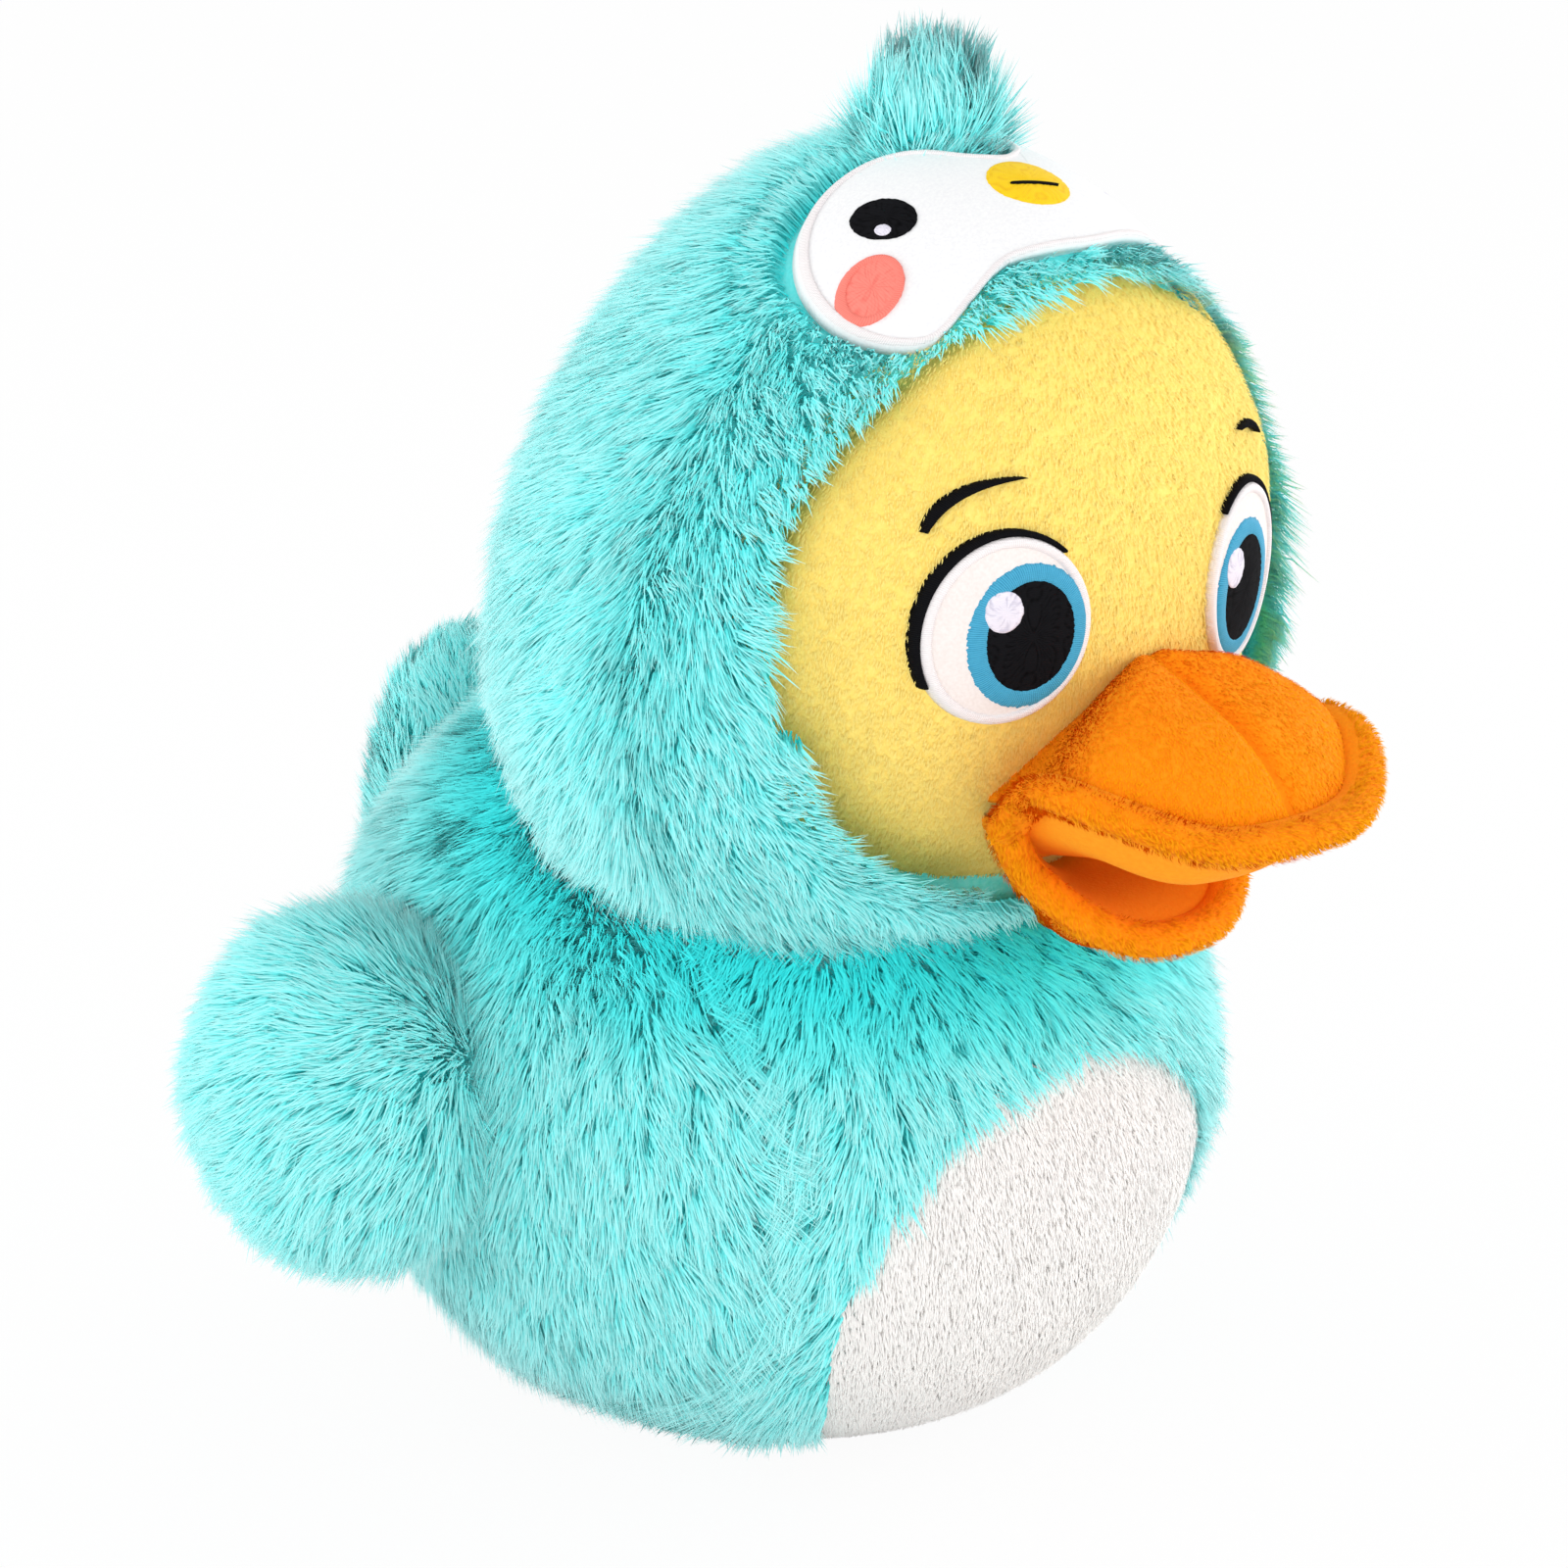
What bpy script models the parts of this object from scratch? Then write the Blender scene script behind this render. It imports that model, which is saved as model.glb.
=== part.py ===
"""Plush duck in a furry bird hood, modelled as its sewn pieces.

Metres, +Z up. The duck faces -Y, its own right side is -X, and it is symmetric about X = 0.
The origin is the middle of the flat base, on the ground.
"""
import math

import bmesh
import bpy
from mathutils import Matrix, Vector

# Small clearances that every fit shares
GAP = 0.0003
NECK_GAP = 0.0005
NECK_TURN = math.radians(12)
OVERRUN = 0.08
WELD = 0.00003
SHARP_ANGLE = math.radians(40)

# Turns and rings of each form, alike for layers that lie on one another
BODY_MESH = (30, 16)
BODY_INNER_MESH = (18, 10)
HOOD_MESH = (28, 18)
HEAD_MESH = (26, 16)
HEAD_INNER_MESH = (16, 10)
WING_MESH = (18, 12)
TAIL_MESH = (16, 12)
TUFT_MESH = (12, 8)
SMALL_INNER_MESH = (10, 8)
BILL_MESH = (20, 12)
BILL_INNER_MESH = (14, 8)

# Body
BODY_HALF_WIDTH = 0.098
BODY_HALF_LENGTH = 0.107
BODY_HALF_HEIGHT = 0.095
BODY_MIDDLE_Y = 0.0027
BASE_SINK = 0.0108
BODY_TAPER_SHARE = 0.128
RUMP_LIFT_SHARE = 0.273
FUR_DEPTH = 0.013
BASE_HALF_WIDTH = 0.037
BASE_HALF_LENGTH = 0.042
BASE_THICKNESS = 0.003
PELLET_BAG_RADIUS = 0.034
PELLET_BAG_HEIGHT = 0.022

# White belly panel, as seen from the front
BELLY_HALF_WIDTH = 0.0506
BELLY_MIDDLE_HEIGHT = 0.055
BELLY_RISE = 0.0495
BELLY_DROP = 0.085
BELLY_RECESS = 0.002

# Hood
HOOD_HALF_WIDTH = 0.0851
HOOD_HALF_LENGTH = 0.0832
HOOD_HALF_HEIGHT = 0.0896
HOOD_FORWARD = 0.0433
HOOD_RISE = 0.1177
HOOD_LEAN = 0.0071
HOOD_SIDE_TAPER_SHARE = 0.30
HOOD_LENGTH_TAPER_SHARE = 0.025
HOOD_LEAST_WALL = 0.0035
HOOD_TOP_WALL = 0.0080
HOOD_TOP_STARTS_SHARE = 0.62
HOOD_TOP_BLEND_SHARE = 0.20
FACE_OPENING_HALF_WIDTH = 0.071
FACE_OPENING_RISE = 0.066
FACE_OPENING_DROP = 0.057
FACE_OPENING_BELOW_MIDDLE = 0.0043
FACE_OPENING_DEPTH = 0.040

# Head inside the hood
HEAD_HALF_WIDTH = 0.0817
HEAD_HALF_LENGTH = 0.0683
HEAD_HALF_HEIGHT = 0.0833
HEAD_FORWARD = 0.0036
HEAD_RISE = 0.0065
PLUSH_THICKNESS = 0.003

# Embroidered eyes, each placed from the middle of the head
EYE_ACROSS = 0.0343
EYE_BELOW_MIDDLE = 0.0051
EYE_HALF_WIDTH = 0.0165
EYE_HALF_HEIGHT = 0.0186
IRIS_INSET = 0.0035
IRIS_HALF_WIDTH = 0.0116
IRIS_HALF_HEIGHT = 0.0142
PUPIL_HALF_WIDTH = 0.0085
PUPIL_HALF_HEIGHT = 0.0106
GLINT_RADIUS = 0.0038
GLINT_RISE = 0.0049
GLINT_SHIFT_RIGHT_EYE = 0.0053
GLINT_SHIFT_LEFT_EYE = 0.0026
LASH_THICKNESS = 0.0028
BROW_THICKNESS = 0.0030
BROW_RISE = 0.0255
BROW_SHIFT = 0.0055
BROW_HALF_WIDTH = 0.0115
BROW_ARCH = 0.0060
BROW_TURN = math.radians(22)
BROW_START = math.radians(25)
BROW_END = math.radians(165)
LASH_START = math.radians(52)
LASH_END = math.radians(212)
BAND_TIP_SHARE = 0.25
STITCH_THICKNESS = 0.0012

# White patch on the hood, in its own tilted plane: across is X, up is along the patch
PATCH_FORWARD_SHARE = 0.38
PATCH_TILT = math.radians(37)
PATCH_LOBE_ACROSS = 0.0270
PATCH_LOBE_HALF_WIDTH = 0.0195
PATCH_LOBE_HALF_HEIGHT = 0.0240
PATCH_LOBE_TILT = math.radians(25)
PATCH_LOBE_START = math.radians(-97)
PATCH_LOBE_END = math.radians(128)
PATCH_BRIDGE_SHARE = 0.25
PATCH_BRIDGE_DROP = 0.0185
PATCH_NOTCH_RISE = 0.0082
PATCH_RECESS = 0.0015
PATCH_THICKNESS = 0.0012
PATCH_EYE_ACROSS = 0.0286
PATCH_EYE_RISE = 0.0062
PATCH_EYE_HALF_WIDTH = 0.0046
PATCH_EYE_HALF_HEIGHT = 0.0063
PATCH_GLINT_HALF_WIDTH = 0.0015
PATCH_GLINT_HALF_HEIGHT = 0.0018
PATCH_GLINT_DROP = 0.0026
PATCH_CHEEK_ACROSS = 0.0393
PATCH_CHEEK_DROP = 0.0079
PATCH_CHEEK_HALF_WIDTH = 0.0052
PATCH_CHEEK_HALF_HEIGHT = 0.0076
PATCH_CHEEK_TURN = math.radians(30)
PATCH_BILL_TURN = math.radians(-18)
PATCH_BILL_HALF_WIDTH = 0.0086
PATCH_BILL_HALF_HEIGHT = 0.0083
PATCH_BILL_DROP = 0.0012
PATCH_MOUTH_HALF_LENGTH = 0.0052
PATCH_MOUTH_HALF_HEIGHT = 0.0006

# Tuft on top of the hood
TUFT_HALF_WIDTH = 0.015
TUFT_HALF_LENGTH = 0.013
TUFT_HALF_HEIGHT = 0.016
TUFT_BACK = 0.001
TUFT_RISE = 0.003

# Wings
WING_HALF_THICKNESS = 0.0317
WING_HALF_LENGTH = 0.0385
WING_HALF_HEIGHT = 0.0408
WING_OUTSET = 0.0075
WING_BACK = 0.0151
WING_RISE = 0.0062
WING_FUR_DEPTH = 0.011

# Tail
TAIL_HALF_WIDTH = 0.0300
TAIL_HALF_THICKNESS = 0.0213
TAIL_HALF_HEIGHT = 0.0562
TAIL_RISE = 0.0167
TAIL_CURL = 0.006
TAIL_FUR_DEPTH = 0.008

# Upper bill
UPPER_HALF_WIDTH = 0.044
UPPER_REACH = 0.046
UPPER_ROOT_LENGTH = 0.034
UPPER_DOME_RISE = 0.029
UPPER_LINING_DROP = 0.010
UPPER_SET_IN = 0.0065
UPPER_BELOW_MIDDLE = 0.0419
UPPER_LIP_RADIUS = 0.006
UPPER_LIP_WAVE = 0.0090
UPPER_PINCH_LENGTH = 0.022
ROOT_WIDTH_SHARE = 0.88
ROOT_PEAK_SHARE = 0.80
WAVE_START = math.radians(20)
WAVE_SPREAD = math.radians(90)
RIM_SPREAD = math.radians(128)
BILL_PLAN_SHARE = 1.6
UPPER_DEPTH_SHARE = 1.8
LOWER_DEPTH_SHARE = 3.5
SEAM_SHARE = 0.02

# Lower bill
LOWER_HALF_WIDTH = 0.0295
LOWER_REACH = 0.0295
LOWER_ROOT_LENGTH = 0.026
LOWER_TOP_RISE = 0.004
LOWER_BELLY_DROP = 0.009
LOWER_SET_IN = 0.0225
LOWER_BELOW_MIDDLE = 0.0689
LOWER_LIP_RADIUS = 0.0055
LOWER_LIP_WAVE = 0.0230
BILL_CLOSING = math.radians(8)
HINGE_SET_FORWARD = 0.003

# Where the parts sit, worked out from the sizes above
BODY_MIDDLE_Z = BODY_HALF_HEIGHT - BASE_SINK
HOOD_MIDDLE_Y = BODY_MIDDLE_Y - HOOD_FORWARD
HOOD_MIDDLE_Z = BODY_MIDDLE_Z + HOOD_RISE
HEAD_MIDDLE_Y = HOOD_MIDDLE_Y - HEAD_FORWARD
HEAD_MIDDLE_Z = HOOD_MIDDLE_Z + HEAD_RISE
HEAD_FRONT_Y = HEAD_MIDDLE_Y - HEAD_HALF_LENGTH
UPPER_MIDDLE = Vector((0, HEAD_FRONT_Y + UPPER_SET_IN, HEAD_MIDDLE_Z - UPPER_BELOW_MIDDLE))
LOWER_MIDDLE = Vector((0, HEAD_FRONT_Y + LOWER_SET_IN, HEAD_MIDDLE_Z - LOWER_BELOW_MIDDLE))
WING_MIDDLE_X = BODY_HALF_WIDTH + WING_OUTSET
WING_MIDDLE_Y = BODY_MIDDLE_Y + WING_BACK
WING_MIDDLE_Z = BODY_MIDDLE_Z + WING_RISE
TAIL_MIDDLE_Y = BODY_MIDDLE_Y + BODY_HALF_LENGTH
TAIL_MIDDLE_Z = BODY_MIDDLE_Z + TAIL_RISE
NECK_POINT = Vector((0, BODY_MIDDLE_Y, BODY_MIDDLE_Z))
NECK_AXIS = Vector((0, -HOOD_FORWARD, HOOD_RISE)).normalized()
BILL_HINGE = Vector((0, LOWER_MIDDLE.y - HINGE_SET_FORWARD, LOWER_MIDDLE.z + LOWER_LIP_WAVE))
TAIL_HINGE = Vector((0, TAIL_MIDDLE_Y - TAIL_CURL, TAIL_MIDDLE_Z - TAIL_HALF_HEIGHT))

# Colours of the pieces, linear RGB, with their roughness
FINISHES = {
    "aqua_fur": ((0.10, 0.72, 0.72), 0.95),
    "white_plush": ((0.86, 0.84, 0.82), 0.95),
    "aqua_base": ((0.12, 0.62, 0.62), 0.90),
    "filling": ((0.90, 0.90, 0.88), 1.00),
    "pellets": ((0.55, 0.55, 0.58), 0.80),
    "yellow_plush": ((0.93, 0.66, 0.15), 0.90),
    "orange_plush": ((0.93, 0.26, 0.01), 0.90),
    "orange_lining": ((0.72, 0.12, 0.01), 0.90),
    "white_thread": ((0.85, 0.84, 0.84), 0.60),
    "blue_thread": ((0.05, 0.33, 0.52), 0.60),
    "black_thread": ((0.01, 0.01, 0.01), 0.60),
    "pink_thread": ((0.92, 0.27, 0.22), 0.60),
    "gold_thread": ((0.85, 0.60, 0.02), 0.60),
}


def clear_scene():
    """Remove what the file opened with."""
    for item in list(bpy.data.objects):
        bpy.data.objects.remove(item, do_unlink=True)


def make_collection(name):
    """Add a collection to the scene."""
    collection = bpy.data.collections.new(name)
    bpy.context.scene.collection.children.link(collection)
    return collection


def make_materials():
    """One Principled material for each finish."""
    made = {}
    for name, (colour, roughness) in FINISHES.items():
        material = bpy.data.materials.new(name)
        material.use_nodes = True
        shader = material.node_tree.nodes["Principled BSDF"]
        shader.inputs["Base Color"].default_value = (*colour, 1)
        shader.inputs["Roughness"].default_value = roughness
        shader.inputs["Metallic"].default_value = 0
        material.diffuse_color = (*colour, 1)
        made[name] = material
    return made


def body_shape(p):
    """Egg-shaped body: broad below, drawn in above, with the rump lifted off the ground."""
    rump = max(p.y, 0) ** 2 * max(-p.z, 0)
    return Vector((
        BODY_HALF_WIDTH * p.x,
        BODY_HALF_LENGTH * p.y * (1 - BODY_TAPER_SHARE * p.z) + BODY_MIDDLE_Y,
        BODY_HALF_HEIGHT * (p.z + RUMP_LIFT_SHARE * rump) + BODY_MIDDLE_Z,
    ))


def hood_shape(p):
    """Hood: fuller below than on top, and leaning forward."""
    return Vector((
        HOOD_HALF_WIDTH * p.x * (1 - HOOD_SIDE_TAPER_SHARE * p.z),
        HOOD_HALF_LENGTH * p.y * (1 - HOOD_LENGTH_TAPER_SHARE * p.z) - HOOD_LEAN * p.z + HOOD_MIDDLE_Y,
        HOOD_HALF_HEIGHT * p.z + HOOD_MIDDLE_Z,
    ))


def hood_share(point):
    """The unit-sphere place that hood_shape carries to a point."""
    z = (point.z - HOOD_MIDDLE_Z) / HOOD_HALF_HEIGHT
    y = (point.y - HOOD_MIDDLE_Y + HOOD_LEAN * z) / (HOOD_HALF_LENGTH * (1 - HOOD_LENGTH_TAPER_SHARE * z))
    x = point.x / (HOOD_HALF_WIDTH * (1 - HOOD_SIDE_TAPER_SHARE * z))
    return Vector((x, y, z))


def head_shape(p):
    """Round head, drawn in where the hood would otherwise be thinner than its least wall."""
    point = Vector((
        HEAD_HALF_WIDTH * p.x,
        HEAD_HALF_LENGTH * p.y + HEAD_MIDDLE_Y,
        HEAD_HALF_HEIGHT * p.z + HEAD_MIDDLE_Z,
    ))
    share = hood_share(point)
    topping = smooth_step((share.z - HOOD_TOP_STARTS_SHARE) / HOOD_TOP_BLEND_SHARE)
    wall = HOOD_LEAST_WALL + (HOOD_TOP_WALL - HOOD_LEAST_WALL) * topping
    limit = 1 - wall / HOOD_HALF_WIDTH
    if share.length > limit:
        point = hood_shape(share * (limit / share.length))
    return point


def tuft_shape(p):
    """Tuft of fur on the crown."""
    crown = hood_shape(Vector((0, 0, 1)))
    return Vector((
        TUFT_HALF_WIDTH * p.x,
        TUFT_HALF_LENGTH * p.y + crown.y + TUFT_BACK,
        TUFT_HALF_HEIGHT * p.z + crown.z + TUFT_RISE,
    ))


def wing_shape(p):
    """Plump round wing on the duck's right side."""
    return Vector((
        WING_HALF_THICKNESS * p.x - WING_MIDDLE_X,
        WING_HALF_LENGTH * p.y + WING_MIDDLE_Y,
        WING_HALF_HEIGHT * p.z + WING_MIDDLE_Z,
    ))


def tail_shape(p):
    """Upturned tail, its tip curled away from the back."""
    return Vector((
        TAIL_HALF_WIDTH * p.x,
        TAIL_HALF_THICKNESS * p.y + TAIL_CURL * max(p.z, 0) ** 2 + TAIL_MIDDLE_Y,
        TAIL_HALF_HEIGHT * p.z + TAIL_MIDDLE_Z,
    ))


def smooth_step(value):
    """Ease from 0 to 1."""
    value = min(max(value, 0), 1)
    return value * value * (3 - 2 * value)


def upper_bill_shape(p):
    """Shovel-shaped upper bill: a dome that narrows to a ridge at the face, on a wavy lip."""
    reach = UPPER_REACH if p.y < 0 else UPPER_ROOT_LENGTH
    forward = smooth_step(-p.y * UPPER_REACH / UPPER_PINCH_LENGTH)
    at_root = max(ROOT_WIDTH_SHARE - ROOT_PEAK_SHARE * max(p.z, 0), 0)
    width = at_root + (1 - at_root) * forward
    turn = abs(math.atan2(p.x, -p.y))
    along = (turn - WAVE_START) / WAVE_SPREAD
    wave = math.sin(math.pi * along) ** 2 if 0 < along < 1 else 0
    height = UPPER_DOME_RISE if p.z > 0 else UPPER_LINING_DROP
    flat = min(p.x * p.x + p.y * p.y, 1)
    return UPPER_MIDDLE + Vector((
        UPPER_HALF_WIDTH * p.x * width,
        reach * p.y,
        height * p.z + UPPER_LIP_WAVE * wave * flat,
    ))


def lower_bill_shape(p):
    """Lower bill: a shallow scoop whose sides rise to the corners of the mouth."""
    reach = LOWER_REACH if p.y < 0 else LOWER_ROOT_LENGTH
    height = LOWER_TOP_RISE if p.z > 0 else LOWER_BELLY_DROP
    turn = math.atan2(p.x, -p.y)
    flat = min(p.x * p.x + p.y * p.y, 1)
    return LOWER_MIDDLE + Vector((
        LOWER_HALF_WIDTH * p.x,
        reach * p.y,
        height * p.z + LOWER_LIP_WAVE * abs(math.sin(turn)) ** 3 * flat,
    ))


def mirrored(shape):
    """The same shape on the duck's left side."""
    def other(p):
        point = shape(Vector((-p.x, p.y, p.z)))
        return Vector((-point.x, point.y, point.z))
    return other


class Workshop:
    """Holds the collections, the finishes and the shared cutters."""

    def __init__(self):
        self.parts = make_collection("plush_duck")
        self.cutters = make_collection("cutters")
        self.materials = make_materials()
        self.joints = {}

    def joint(self, name, point):
        """An empty on a joint, that the moving pieces hang from."""
        empty = bpy.data.objects.new(name, None)
        empty.location = point
        self.parts.objects.link(empty)
        self.joints[name] = empty

    def place(self, name, mesh_source, finish=None, joint=None):
        """Link a bmesh as a part, or as a cutter where it has no finish."""
        mesh = bpy.data.meshes.new(name)
        bmesh.ops.recalc_face_normals(mesh_source, faces=mesh_source.faces[:])
        mesh_source.to_mesh(mesh)
        mesh_source.free()
        item = bpy.data.objects.new(name, mesh)
        if finish is None:
            item.hide_render = True
            item.display_type = "WIRE"
            self.cutters.objects.link(item)
            return item
        mesh.materials.append(self.materials[finish])
        mesh.shade_smooth()
        mesh.set_sharp_from_angle(angle=SHARP_ANGLE)
        self.parts.objects.link(item)
        if joint is not None:
            item.parent = self.joints[joint]
            item.location = -self.joints[joint].location
        return item

    def form(self, name, shape, counts, grow=0.0, finish=None, joint=None, share=1.0):
        """A sphere of a share of the full radius carried to a shape, then grown along its normals."""
        source = bmesh.new()
        bmesh.ops.create_uvsphere(source, u_segments=counts[0], v_segments=counts[1], radius=1)
        for vertex in source.verts:
            vertex.co = shape(vertex.co.normalized() * share)
        bmesh.ops.triangulate(source, faces=source.faces[:], quad_method="FIXED")
        bmesh.ops.recalc_face_normals(source, faces=source.faces[:])
        source.normal_update()
        if grow:
            moved = [vertex.co + vertex.normal * grow for vertex in source.verts]
            for vertex, place in zip(source.verts, moved):
                vertex.co = place
        return self.place(name, source, finish, joint)

    def slab(self, name, shape, low_share, high_share, parts=12):
        """The region of a shape's unit space between two heights, as a curved slab."""
        source = bmesh.new()
        bmesh.ops.create_grid(source, x_segments=parts, y_segments=parts, size=BILL_PLAN_SHARE)
        bmesh.ops.triangulate(source, faces=source.faces[:], quad_method="FIXED")
        rim = bmesh.ops.extrude_face_region(source, geom=source.faces[:])
        top = {item for item in rim["geom"] if isinstance(item, bmesh.types.BMVert)}
        for vertex in source.verts:
            vertex.co.z = high_share if vertex in top else low_share
            vertex.co = shape(vertex.co)
        return self.place(name, source)

    def oval(self, name, half_x, half_y, height, matrix, finish=None, joint=None, sides=24):
        """An oval disc or prism, its height along its own Z."""
        source = bmesh.new()
        bmesh.ops.create_cone(source, cap_ends=True, segments=sides, radius1=1, radius2=1, depth=height)
        bmesh.ops.scale(source, vec=(half_x, half_y, 1), verts=source.verts)
        bmesh.ops.transform(source, matrix=matrix, verts=source.verts)
        return self.place(name, source, finish, joint)

    def outline(self, name, points, height, matrix, finish=None, joint=None):
        """A flat outline raised to a prism, its height along its own Z."""
        curve = bpy.data.curves.new(name, "CURVE")
        curve.dimensions = "2D"
        curve.fill_mode = "BOTH"
        curve.extrude = height / 2
        spline = curve.splines.new("POLY")
        spline.points.add(len(points) - 1)
        for knot, (x, y) in zip(spline.points, points):
            knot.co = (x, y, 0, 1)
        spline.use_cyclic_u = True
        source = self.solid_from(curve)
        bmesh.ops.transform(source, matrix=matrix, verts=source.verts)
        return self.place(name, source, finish, joint)

    def tube(self, name, points, radius, finish=None, joint=None):
        """A round roll along a line of points."""
        curve = bpy.data.curves.new(name, "CURVE")
        curve.dimensions = "3D"
        curve.bevel_depth = radius
        curve.bevel_resolution = 2
        curve.use_fill_caps = True
        spline = curve.splines.new("POLY")
        spline.points.add(len(points) - 1)
        for knot, point in zip(spline.points, points):
            knot.co = (*point, 1)
        return self.place(name, self.solid_from(curve), finish, joint)

    @staticmethod
    def solid_from(curve):
        """A curve as a closed mesh, its caps welded."""
        holder = bpy.data.objects.new(curve.name, curve)
        bpy.context.scene.collection.objects.link(holder)
        graph = bpy.context.evaluated_depsgraph_get()
        mesh = bpy.data.meshes.new_from_object(holder.evaluated_get(graph))
        source = bmesh.new()
        source.from_mesh(mesh)
        bmesh.ops.remove_doubles(source, verts=source.verts, dist=WELD)
        bpy.data.objects.remove(holder, do_unlink=True)
        bpy.data.meshes.remove(mesh)
        return source


def swing_about(pivot, angle, axis):
    """A turn about a joint."""
    return Matrix.Translation(pivot) @ Matrix.Rotation(angle, 4, axis) @ Matrix.Translation(-pivot)


def swung(shape, swing):
    """A shape carried by a swing."""
    return lambda p: swing @ shape(p)


def cut(item, *cutters, keep=False):
    """Take the cutters away from a piece, or keep only what lies inside them."""
    for cutter in cutters:
        change = item.modifiers.new(cutter.name, "BOOLEAN")
        change.operation = "INTERSECT" if keep else "DIFFERENCE"
        change.solver = "EXACT"
        change.object = cutter


def egg_outline(half_width, rise, drop, grow=0.0, sides=32):
    """An upright oval with unlike upper and lower halves."""
    points = []
    for step in range(sides):
        angle = math.tau * step / sides
        height = rise if math.sin(angle) > 0 else drop
        points.append(((half_width + grow) * math.cos(angle), (height + grow) * math.sin(angle)))
    return points


def band_outline(half_width, half_height, start, end, thickness, steps=12):
    """A band along an oval, full in its middle and drawn to a point at both ends."""
    inner, outer = [], []
    for step in range(steps + 1):
        share = step / steps
        angle = start + (end - start) * share
        body = thickness * (BAND_TIP_SHARE + (1 - BAND_TIP_SHARE) * math.sin(math.pi * share))
        inner.append((half_width * math.cos(angle), half_height * math.sin(angle)))
        outer.append(((half_width + body) * math.cos(angle), (half_height + body) * math.sin(angle)))
    return outer + inner[::-1]


def facing_front(x, z, depth_middle, turn=0.0):
    """A prism's frame with its outline upright in the XZ plane and its height along Y."""
    stand = Matrix.Rotation(math.radians(90), 4, "X")
    return Matrix.Translation((x, depth_middle, z)) @ Matrix.Rotation(turn, 4, "Y") @ stand


def facing_patch(across, up, turn=0.0):
    """A prism's frame on the hood patch: X across, Y up along the patch, Z outwards."""
    rise_share = math.sqrt(1 - PATCH_FORWARD_SHARE ** 2)
    middle = hood_shape(Vector((0, -PATCH_FORWARD_SHARE, rise_share)))
    tilt = Matrix.Rotation(PATCH_TILT, 4, "X")
    return (Matrix.Translation(middle) @ tilt @ Matrix.Translation((across, up, 0))
            @ Matrix.Rotation(turn, 4, "Z"))


def patch_outline(grow=0.0):
    """Two tilted lobes joined by a bridge with a notch above it."""
    half = []
    steps = 14
    for step in range(steps + 1):
        angle = PATCH_LOBE_START + (PATCH_LOBE_END - PATCH_LOBE_START) * step / steps
        x = (PATCH_LOBE_HALF_WIDTH + grow) * math.cos(angle)
        y = (PATCH_LOBE_HALF_HEIGHT + grow) * math.sin(angle)
        turned_x = x * math.cos(PATCH_LOBE_TILT) - y * math.sin(PATCH_LOBE_TILT)
        turned_y = x * math.sin(PATCH_LOBE_TILT) + y * math.cos(PATCH_LOBE_TILT)
        if PATCH_LOBE_ACROSS + turned_x > PATCH_LOBE_HALF_WIDTH * PATCH_BRIDGE_SHARE:
            half.append((PATCH_LOBE_ACROSS + turned_x, turned_y))
    notch = (0, PATCH_NOTCH_RISE + grow)
    bridge = (0, -PATCH_BRIDGE_DROP - grow)
    return half + [notch] + [(-x, y) for x, y in half[::-1]] + [bridge]


def rim_points(shape, steps=26):
    """The line along a bill's edge, from deep in one cheek to deep in the other."""
    points = []
    for step in range(steps + 1):
        angle = RIM_SPREAD * (2 * step / steps - 1)
        points.append(shape(Vector((math.sin(angle), -math.cos(angle), 0))))
    return points


def build_body(shop):
    """Fur cover, belly panel, base panel, filling and pellet bag."""
    ground = shop.oval("ground", OVERRUN * 3, OVERRUN * 3, OVERRUN,
                       Matrix.Translation((0, 0, -OVERRUN / 2)), sides=8)
    inside = shop.form("body_inside", body_shape, BODY_INNER_MESH, -FUR_DEPTH)
    belly_line = egg_outline(BELLY_HALF_WIDTH, BELLY_RISE, BELLY_DROP)
    belly_hole_line = egg_outline(BELLY_HALF_WIDTH, BELLY_RISE, BELLY_DROP, GAP)
    reach = BODY_HALF_LENGTH + OVERRUN
    belly_frame = facing_front(0, BELLY_MIDDLE_HEIGHT, BODY_MIDDLE_Y - reach / 2)
    belly_hole = shop.outline("belly_hole", belly_hole_line, reach, belly_frame)
    base_hole = shop.oval("base_hole", BASE_HALF_WIDTH + GAP, BASE_HALF_LENGTH + GAP,
                          FUR_DEPTH * 2, Matrix.Identity(4))

    cover = shop.form("body_cover", body_shape, BODY_MESH, 0, "aqua_fur")
    cut(cover, inside, ground, belly_hole, base_hole)

    belly_skin = shop.form("belly_skin", body_shape, BODY_MESH, -BELLY_RECESS)
    belly = shop.outline("belly_panel", belly_line, reach, belly_frame, "white_plush")
    cut(belly, belly_skin, keep=True)
    cut(belly, inside, ground, base_hole)

    shop.oval("base_panel", BASE_HALF_WIDTH, BASE_HALF_LENGTH, BASE_THICKNESS,
              Matrix.Translation((0, 0, BASE_THICKNESS / 2)), "aqua_base")

    filling_foot = shop.oval("filling_foot", OVERRUN * 3, OVERRUN * 3, OVERRUN,
                             Matrix.Translation((0, 0, BASE_THICKNESS + GAP - OVERRUN / 2)), sides=8)
    bag_foot = BASE_THICKNESS + GAP
    pocket = shop.oval("pellet_pocket", PELLET_BAG_RADIUS + GAP, PELLET_BAG_RADIUS + GAP,
                       (PELLET_BAG_HEIGHT + GAP) * 2,
                       Matrix.Translation((0, 0, bag_foot)), sides=20)
    filling = shop.form("body_filling", body_shape, BODY_INNER_MESH, -FUR_DEPTH - GAP, "filling")
    cut(filling, filling_foot, pocket)
    shop.oval("pellet_bag", PELLET_BAG_RADIUS, PELLET_BAG_RADIUS, PELLET_BAG_HEIGHT,
              Matrix.Translation((0, 0, bag_foot + PELLET_BAG_HEIGHT / 2)), "pellets", sides=20)


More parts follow.
